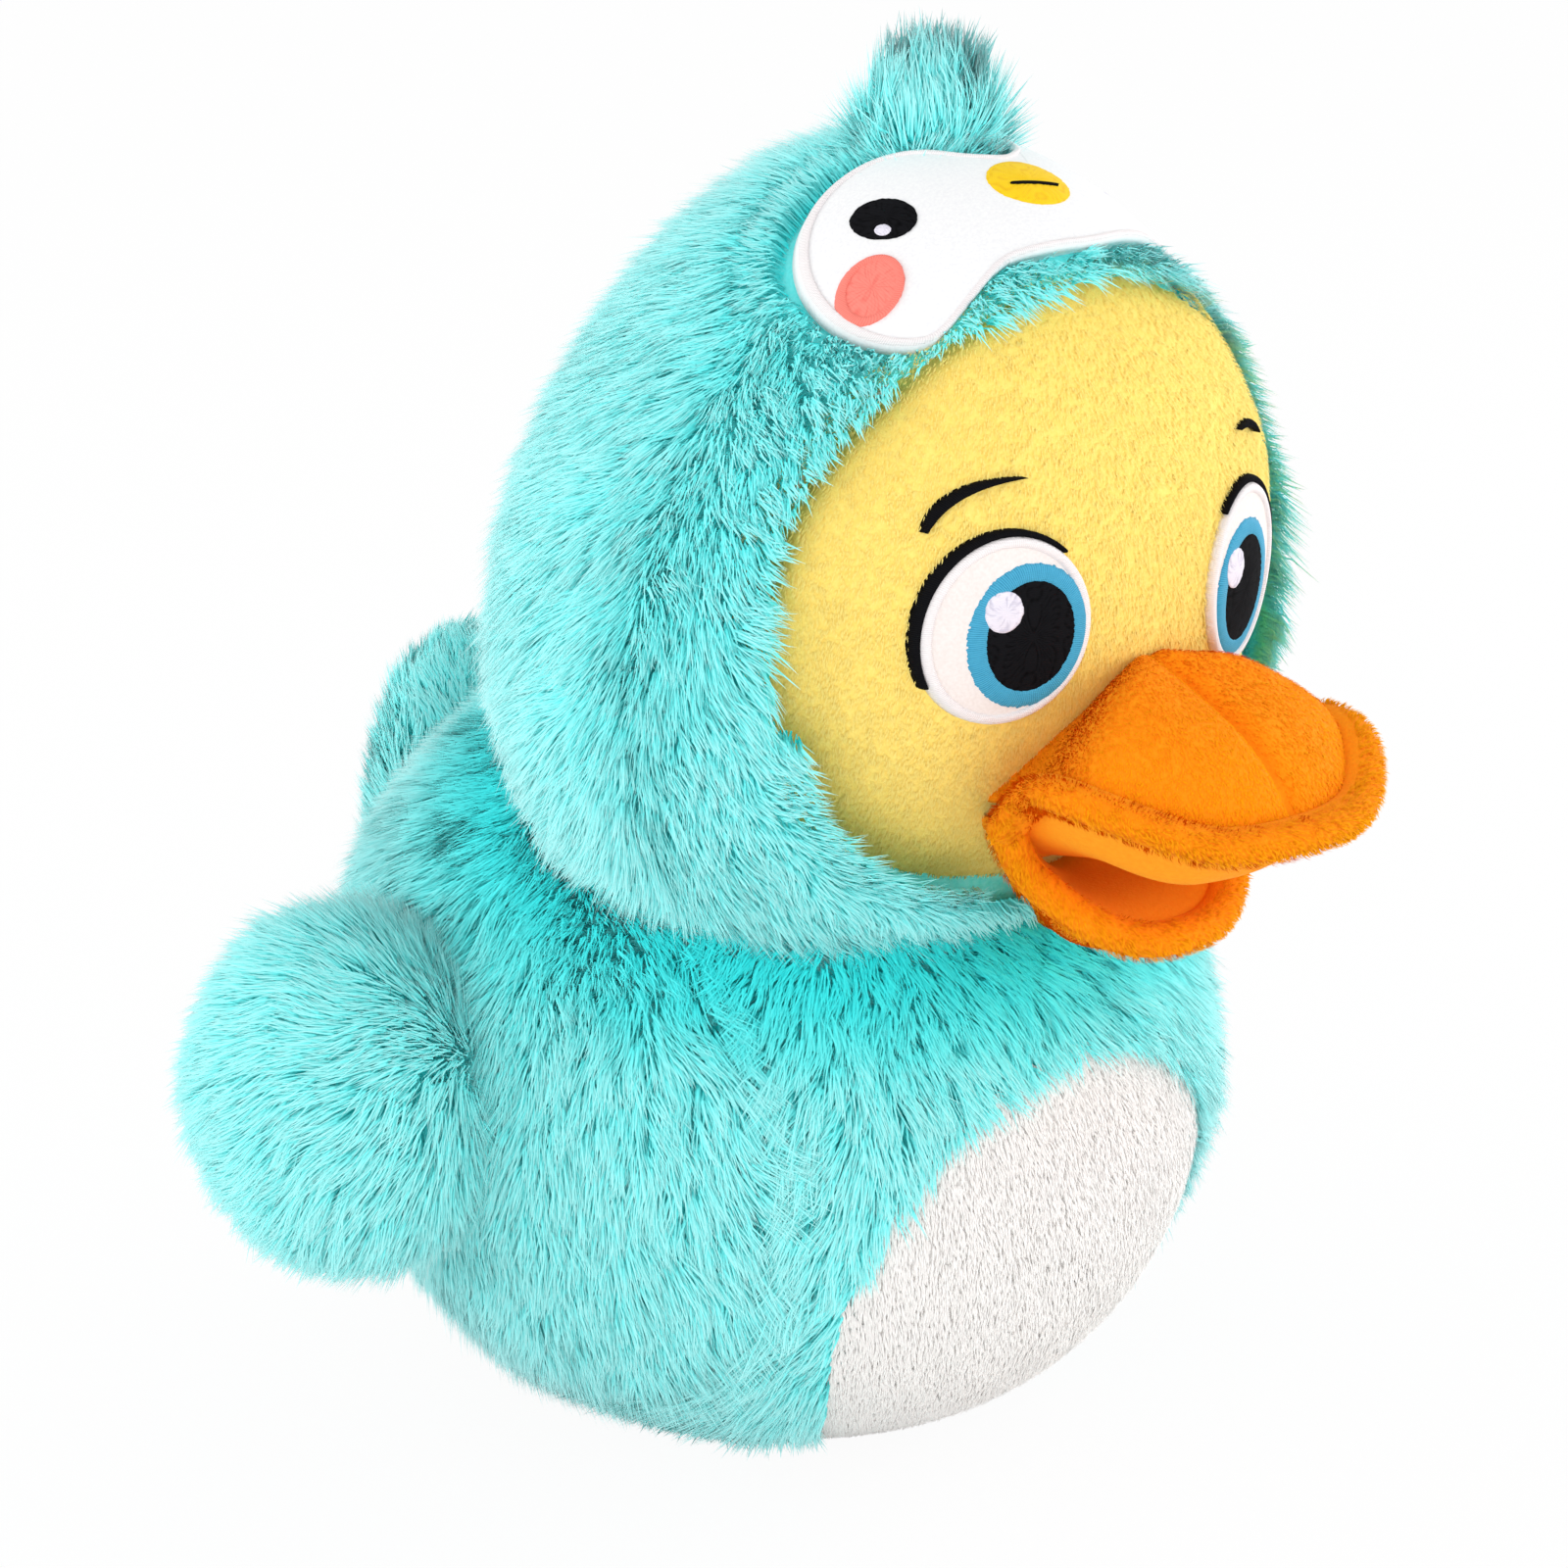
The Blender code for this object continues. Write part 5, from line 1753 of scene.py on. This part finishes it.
@dataclass
class BillForm(Form):
    """One half of the bill."""

    middle: Triple = (0.0, -0.1060, 0.1665)
    half_width: float = 0.044
    reach: float = 0.046
    root_length: float = 0.034
    rise: float = 0.029
    drop: float = 0.010
    lip_core: Pair = (0.0048, 0.0035)
    lip_share: float = 1.02
    lip_drop: float = 0.0
    lip_spread: float = math.radians(82)
    lip_wave: float = 0.0090
    corner: Triple = (0.0338, -0.1045, 0.1614)

    def place(self, p: Array, width: Array, wave: Array) -> Array:
        """Carry unit-ball places out to the half sizes.

        Args:
            p: Unit-ball places.
            width: Their width as a share of the full one.
            wave: How much higher each lies at the rim.

        Returns:
            The places.
        """
        x, y, z = p.T
        reach = np.where(y < 0, self.reach, self.root_length)
        height = np.where(z > 0, self.rise, self.drop) * z + wave * np.minimum(x * x + y * y, 1)
        return columns(self.half_width * x * width, reach * y, height) + np.array(self.middle)

    def rim(self, count: int) -> Array:
        """The line along the lip, from one corner of the mouth to the other.

        Args:
            count: Points.

        Returns:
            The points.
        """
        angle = np.linspace(-self.lip_spread, self.lip_spread, count)
        line = self.surface(columns(np.sin(angle), -np.cos(angle), 0.0) * self.lip_share)
        line[:, 2] -= self.lip_drop
        share = np.linspace(0, 1, 9)[1:, None]
        left = np.array(self.corner)
        right = left * (-1, 1, 1)
        line = np.concatenate(((right + (line[0] - right) * share)[:-1], line,
                               line[-1] + (left - line[-1]) * share))
        for _ in range(14):
            line[1:-1] = (line[:-2] + 2 * line[1:-1] + line[2:]) / 4
        return line


@dataclass
class UpperBillForm(BillForm):
    """Shovel-shaped upper half: a dome that narrows to a ridge at the face, on a wavy lip."""

    pinch: float = 0.028
    root_width: float = 0.71
    root_peak: float = 0.66
    wave_start: float = math.radians(20)

    def surface(self, p: Array) -> Array:
        """Carry unit-ball places to the shape.

        Args:
            p: Unit-ball places, one row each.

        Returns:
            Places on the shape, one row each.
        """
        x, y, z = p.T
        at_root = np.maximum(self.root_width - self.root_peak * np.maximum(z, 0), 0)
        width = at_root + (1 - at_root) * ease(-y * self.reach / self.pinch)
        share = np.clip((np.abs(np.arctan2(x, -y)) - self.wave_start) / (math.pi / 2), 0, 1)
        return self.place(p, width, self.lip_wave * np.sin(math.pi * share) ** 2)


@dataclass
class LowerBillForm(BillForm):
    """Lower half: a shallow scoop whose sides rise to the corners of the mouth."""

    middle: Triple = (0.0, -0.0900, 0.1395)
    half_width: float = 0.0295
    reach: float = 0.0295
    root_length: float = 0.026
    rise: float = 0.004
    drop: float = 0.009
    lip_core: Pair = (0.0040, 0.0036)
    lip_share: float = 1.12
    lip_drop: float = 0.0015
    lip_spread: float = math.radians(62)
    lip_wave: float = 0.0230
    corner: Triple = (0.0343, -0.1050, 0.1655)
    root_narrowing: float = 0.45

    def surface(self, p: Array) -> Array:
        """Carry unit-ball places to the shape.

        Args:
            p: Unit-ball places, one row each.

        Returns:
            Places on the shape, one row each.
        """
        x, y, _ = p.T
        forward = np.where(y < 0, self.reach, self.root_length) * y
        return self.place(p, 1 - self.root_narrowing * rising(forward, -0.014, 0.018),
                          self.lip_wave * np.abs(np.sin(np.arctan2(x, -y))) ** 3)


@dataclass
class Roll:
    """A closed roll along a line, oval in section."""

    line: Array
    half: Pair

    def section(self, middle: Array, ahead: Array, angle: Array) -> tuple[Array, Array]:
        """Places and normals round the roll.

        Args:
            middle: Places on its middle line.
            ahead: The line's direction there.
            angle: Angles round it.

        Returns:
            The places and the normals.
        """
        out = unit(np.cross(ahead, UP))
        lift = np.cross(out, ahead)
        cos, sin = np.cos(angle)[..., None], np.sin(angle)[..., None]
        return (middle + out * (self.half[0] * cos) + lift * (self.half[1] * sin),
                unit(out * cos / self.half[0] + lift * sin / self.half[1]))

    def mesh(self, name: str, sides: int = 20) -> bpy.types.Object:
        """The roll as an object with rounded ends.

        Args:
            name: The piece's name.
            sides: Points round it.

        Returns:
            The object.
        """
        ahead = unit(np.gradient(self.line, axis=0))
        rows, _ = self.section(self.line[:, None, :], ahead[:, None, :], around(sides)[None, :])
        end = ahead * self.half[0] * 0.7
        points = np.concatenate((rows.reshape(-1, 3), self.line[:1] - end[:1], self.line[-1:] + end[-1:]))
        count = len(points)
        faces = grid_faces(len(self.line), sides, True) + flipped(fan(0, sides, count - 2))
        return mesh_object(name, points, faces + fan(count - 2 - sides, sides, count - 1))

    def scatter(self, density: float, seed: int) -> tuple[Array, Array, Array]:
        """Even random places on the roll.

        Args:
            density: Places for each square metre.
            seed: Which random draw.

        Returns:
            Places, normals and the direction along the roll.
        """
        rng = np.random.default_rng(seed)
        run = run_of(self.line)
        count = int(density * run[-1] * math.pi * (self.half[0] + self.half[1]))
        at = rng.uniform(0, run[-1], count)
        ahead = unit(sampled(unit(np.gradient(self.line, axis=0)), run, at))
        middle = sampled(self.line, run, at)
        return *self.section(middle, ahead, rng.uniform(0, math.tau, count)), ahead


@dataclass
class Bill:
    """One half of the bill: cover, lining and rolled lip, with their pile."""

    word: str
    form: BillForm
    body: str
    skin_share: float = 0.975
    sheet_gap: float = 0.0012
    least_head: float = 0.985
    seam_depth: float = 0.0036
    seam_half: float = 0.0021
    seam_bare: float = 0.0011
    lobe_across: float = 0.015
    lobe_half: float = 0.010
    lobe_rise: float = 0.0022
    front_drop: float = 0.0030
    lining_bulge: float = 0.0055
    crease_y: float = -0.0030
    crease_bow: float = 18.0
    crease_depth: float = 0.0026
    crease_half: float = 0.0017
    nap: Pile = Pile(0.0008, 0.96, 0.00028, 3.8e6, 0.0020, 0.06)
    fluff: Pile = Pile(0.0016, 0.82, 0.00022, 3.2e6, 0.0018, 0.08, unruly=0.4, twist=0.1)

    @property
    def upper(self) -> bool:
        """Whether it is the upper half, whose cover faces up."""
        return self.word == "upper"

    def build(self) -> None:
        """Make the cover with its nap, the lining and the lip."""
        cover_sign = 1 if self.upper else -1
        self.build_sheet("cover", cover_sign, ORANGE_BACKING, ["cover", "filling"])
        self.build_nap(cover_sign)
        self.build_sheet("lining", -cover_sign, LINING_BACKING, ["lining"])
        self.build_lip()

    def build_sheet(self, part: str, sign: int, finish: ClothFinish, hides: Sequence[str]) -> None:
        """Make the upper or the lower surface as a closed shell.

        Args:
            part: The piece's part of the name.
            sign: 1 for the upper surface, -1 for the lower.
            finish: Its cloth.
            hides: The parts of the CAD nodes' names that it stands for.
        """
        rings, turns = 30, 120
        turn = around(turns) - 0.75 * np.sin(around(turns))
        rows = []
        for polar in np.arange(rings, 0, -1) / rings * math.pi / 2:
            rows.append(columns(np.sin(turn) * math.sin(polar), -np.cos(turn) * math.sin(polar),
                                sign * math.cos(polar)))
        p = np.concatenate(rows + [sign * UP[None, :]]) * self.skin_share
        outer = self.detail(self.form.surface(p), sign)
        faces = grid_faces(rings, turns, True) + fan((rings - 1) * turns, turns, len(outer) - 1)
        points, faces = shell(outer, outer - sign * self.sheet_gap * UP, faces, list(range(turns)))
        obj = mesh_object(f"{self.word}_bill_{part}_cloth", points, faces if sign > 0 else flipped(faces))
        finish_piece(obj, finish, self.body, [f"{self.word}_bill_{node}" for node in hides])

    def build_nap(self, sign: int) -> None:
        """Grow the cover's nap, which leaves its seam bare.

        Args:
            sign: 1 where the cover faces up, -1 where it faces down.
        """
        p, roots, normals = self.form.scatter(self.nap.density, self.skin_share, 91)
        kept = (p[:, 2] * sign > 0.01) & (HEAD_SHELL.shares(roots)[:, 1] < 0)
        kept &= HEAD_SHELL.depth(roots) > self.least_head
        kept &= self.from_rim(roots) > self.form.lip_core[1]
        if self.upper:
            kept &= (np.abs(roots[:, 0]) > self.seam_bare) | (self.form.middle[1] - roots[:, 1] < 0.012)
        roots, normals = self.detail(roots[kept], sign), normals[kept]
        flow = columns(roots[:, 0] * 25, -1.0, -0.4 * sign)
        nap = grow(f"{self.word}_bill_cover_nap", roots, normals, flow, self.nap, 92)
        finish_piece(nap, ORANGE_PILE, self.body)

    def from_rim(self, points: Array) -> Array:
        """How far points lie from the lip's middle line."""
        line = self.form.rim(60)
        return np.sqrt(((points[:, None, :] - line[None, :, :]) ** 2).sum(axis=2).min(axis=1))

    def detail(self, points: Array, sign: int) -> Array:
        """Shape the upper half: bulge its lining, sink its seam, round its lobes, crease its root.

        Args:
            points: Places on the bill.
            sign: 1 for the upper surface, -1 for the lower.

        Returns:
            The places.
        """
        if not self.upper:
            return points
        x, y, z = (points - np.array(self.form.middle)).T
        if sign < 0:
            out = np.hypot(x / self.form.half_width, y / self.form.reach)
            return points - (self.lining_bulge * falling(out, 0.98, 0.30))[:, None] * UP
        forward = rising(-y, -0.001, 0.016)
        seam = hill(x, self.seam_half) * forward
        lobe = hill(np.abs(x) - self.lobe_across, self.lobe_half) * forward
        behind = self.crease_y + self.crease_bow * x ** 2 - y
        crease = hill(behind, self.crease_half) * falling(np.abs(x), 0.020, 0.006)
        front = self.front_drop * rising(-y, 0.004, 0.022)
        moved = self.lobe_rise * lobe - self.seam_depth * seam - self.crease_depth * crease - front
        return points + (moved * rising(z, 0.0, 0.010))[:, None] * UP

    def build_lip(self) -> None:
        """Make the rolled lip with its fluffier pile."""
        roll = Roll(self.form.rim(90), self.form.lip_core)
        name = f"{self.word}_bill_lip"
        finish_piece(roll.mesh(f"{name}_roll"), ORANGE_BACKING, self.body, [name])
        roots, normals, ahead = roll.scatter(self.fluff.density, 97)
        outward = flat_to(roots - np.array(self.form.middle), UP[None, :])
        kept = (HEAD_SHELL.depth(roots) > self.least_head) & (np.sum(outward * normals, axis=1) > 0.0)
        flow = outward * 0.5 + ahead * 0.3 - 0.5 * UP
        fluff = grow(f"{name}_pile", roots[kept], normals[kept], flow[kept], self.fluff, 98)
        finish_piece(fluff, ORANGE_PILE, self.body)


@dataclass
class MouthBack:
    """Lining over the face between the two halves of the bill."""

    low: float = 0.148
    high: float = 0.172
    half_width: float = 0.012
    flare: float = 0.5
    front: float = 0.0006
    back: float = -0.0030

    def build(self) -> None:
        """Make the lining."""
        rows, count = 24, 40
        x, z = np.meshgrid(np.linspace(-1, 1, count), np.linspace(self.low, self.high, rows))
        x = x * (self.half_width + self.flare * (z - self.low))
        outer, inner = (HEAD.front(x.ravel(), z.ravel(), lift) for lift in (self.front, self.back))
        index = np.arange(rows * count).reshape(rows, count)
        rim = [*index[0], *index[1:, -1], *index[-1, -2::-1], *index[-2:0:-1, 0]]
        points, faces = shell(outer, inner, grid_faces(rows, count, False), [int(here) for here in rim])
        finish_piece(mesh_object("mouth_back_lining", points, faces), LINING_BACKING, "head")


def dress_frame() -> None:
    """Give the CAD nodes that stay their materials."""
    fibre = FIBRE_FILL.material()
    chosen = {"base_panel": AQUA_WEAVE.material(), "pellet_bag": PELLET_CLOTH.material()}
    for name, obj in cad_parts.items():
        material = chosen.get(name, fibre if name.endswith("filling") else None)
        if material is not None:
            obj.data.materials.clear()
            obj.data.materials.append(material)


@dataclass
class Studio:
    """Floor, light and camera."""

    azimuth: float = math.radians(-42)
    elevation: float = math.radians(17.6)
    distance: float = 0.81
    target: Triple = (-0.00817, -0.01264, 0.145)
    lens: float = 85.0
    sensor: float = 36.0
    sky_low: float = 1.06
    sky_top: float = 0.80
    lamp_target: Triple = (0.0, 0.0, 0.15)

    def build(self) -> None:
        """Set up the studio."""
        self.build_floor()
        self.build_world()
        self.build_lamps()
        self.build_camera()
        bpy.context.scene.view_settings.view_transform = "Standard"

    def build_floor(self) -> None:
        """A pale floor that keeps the duck's shadow."""
        bpy.ops.mesh.primitive_plane_add(size=6.0, location=(0, 0, 0))
        floor = bpy.context.active_object
        floor.name = "studio_floor"
        sheet = Paint("studio_floor_paint", 0.9)
        sheet.inputs["Base Color"].default_value = (0.93, 0.93, 0.93, 1)
        light = sheet.add("ShaderNodeEmission", {"Color": (1, 1, 1, 1), "Strength": 1.0})
        seen = sheet.add("ShaderNodeLightPath").outputs["Is Camera Ray"]
        share = sheet.add("ShaderNodeMath", {0: seen, 1: 0.95}, operation="MULTIPLY")
        paint = sheet.tree.nodes["Principled BSDF"].outputs["BSDF"]
        mix = sheet.add("ShaderNodeMixShader", {"Fac": share.outputs["Value"], 1: paint,
                                                2: light.outputs["Emission"]})
        sheet.tree.links.new(mix.outputs["Shader"], sheet.tree.nodes["Material Output"].inputs["Surface"])
        floor.data.materials.append(sheet.material)

    def build_world(self) -> None:
        """An even pale surrounding, white to the camera."""
        world = bpy.data.worlds.new("studio_world")
        bpy.context.scene.world = world
        world.use_nodes = True
        sheet = NodeSheet(world.node_tree)
        back = sheet.tree.nodes["Background"]
        back.inputs["Color"].default_value = (1.0, 1.0, 1.0, 1)
        where = sheet.add("ShaderNodeTexCoord").outputs["Generated"]
        height = sheet.add("ShaderNodeSeparateXYZ", {0: where}).outputs["Z"]
        level = sheet.add("ShaderNodeMapRange", {"From Min": 0.0, "From Max": 1.0, "To Min": self.sky_low,
                                                 "To Max": self.sky_top, "Value": height})
        seen = sheet.add("ShaderNodeLightPath").outputs["Is Camera Ray"]
        strength = sheet.add("ShaderNodeMix", {0: seen, 2: level.outputs["Result"], 3: 1.0})
        sheet.tree.links.new(strength.outputs[0], back.inputs["Strength"])

    def build_lamps(self) -> None:
        """A large soft key from the upper left, a fill and a rim."""
        for name, place, size, power in (("key_lamp", (-1.5, -1.2, 0.30), 1.6, 9.5),
                                         ("fill_lamp", (0.6, -1.75, 0.22), 1.6, 9.5),
                                         ("back_lamp", (-1.4, 1.1, 0.5), 1.2, 8.0),
                                         ("side_lamp", (1.6, -0.5, 0.40), 1.2, 8.0)):
            data = bpy.data.lights.new(name, "AREA")
            data.energy = power
            data.size = size
            self.aim(link_object(name, data), Vector(place), Vector(self.lamp_target) - Vector(place))

    def build_camera(self) -> None:
        """The photograph's camera."""
        back = Vector((math.sin(self.azimuth) * math.cos(self.elevation),
                       -math.cos(self.azimuth) * math.cos(self.elevation), math.sin(self.elevation)))
        data = bpy.data.cameras.new("photo_camera")
        data.lens = self.lens
        data.sensor_width = self.sensor
        camera = link_object("photo_camera", data)
        self.aim(camera, Vector(self.target) + back * self.distance, -back)
        bpy.context.scene.camera = camera

    def aim(self, obj: bpy.types.Object, place: Vector, ahead: Vector) -> None:
        """Put a lamp or a camera at a place, looking ahead."""
        obj.location = place
        obj.rotation_euler = ahead.to_track_quat("-Z", "Y").to_euler()


def main() -> None:
    """Build the duck's looks and the studio."""
    logging.basicConfig(level=logging.INFO, format="%(name)s %(message)s")
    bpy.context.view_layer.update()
    bpy.ops.object.select_all(action="DESELECT")
    belly = BellyPanel()
    wings = [Wing(side) for side in Side]
    far_brow = ((0.0105, 0.0268), (0.0082, 0.0306), (-0.0004, 0.0296))
    eyes = [Eye(Side.RIGHT, 0.0037, 0.0010),
            Eye(Side.LEFT, 0.0012, 0.0024, across=0.0342, white_half=(0.0160, 0.0188), brow_ends=far_brow)]
    dress_frame()
    for part in (belly, BodyFur(belly, wings), *wings, Tail(), Head(eyes), Hood(), PatchFace(), *eyes,
                 Bill("upper", UpperBillForm(), "head"),
                 Bill("lower", LowerBillForm(), "lower_bill", skin_share=1.06), MouthBack(), Studio()):
        part.build()


if __name__ == "__main__":
    main()
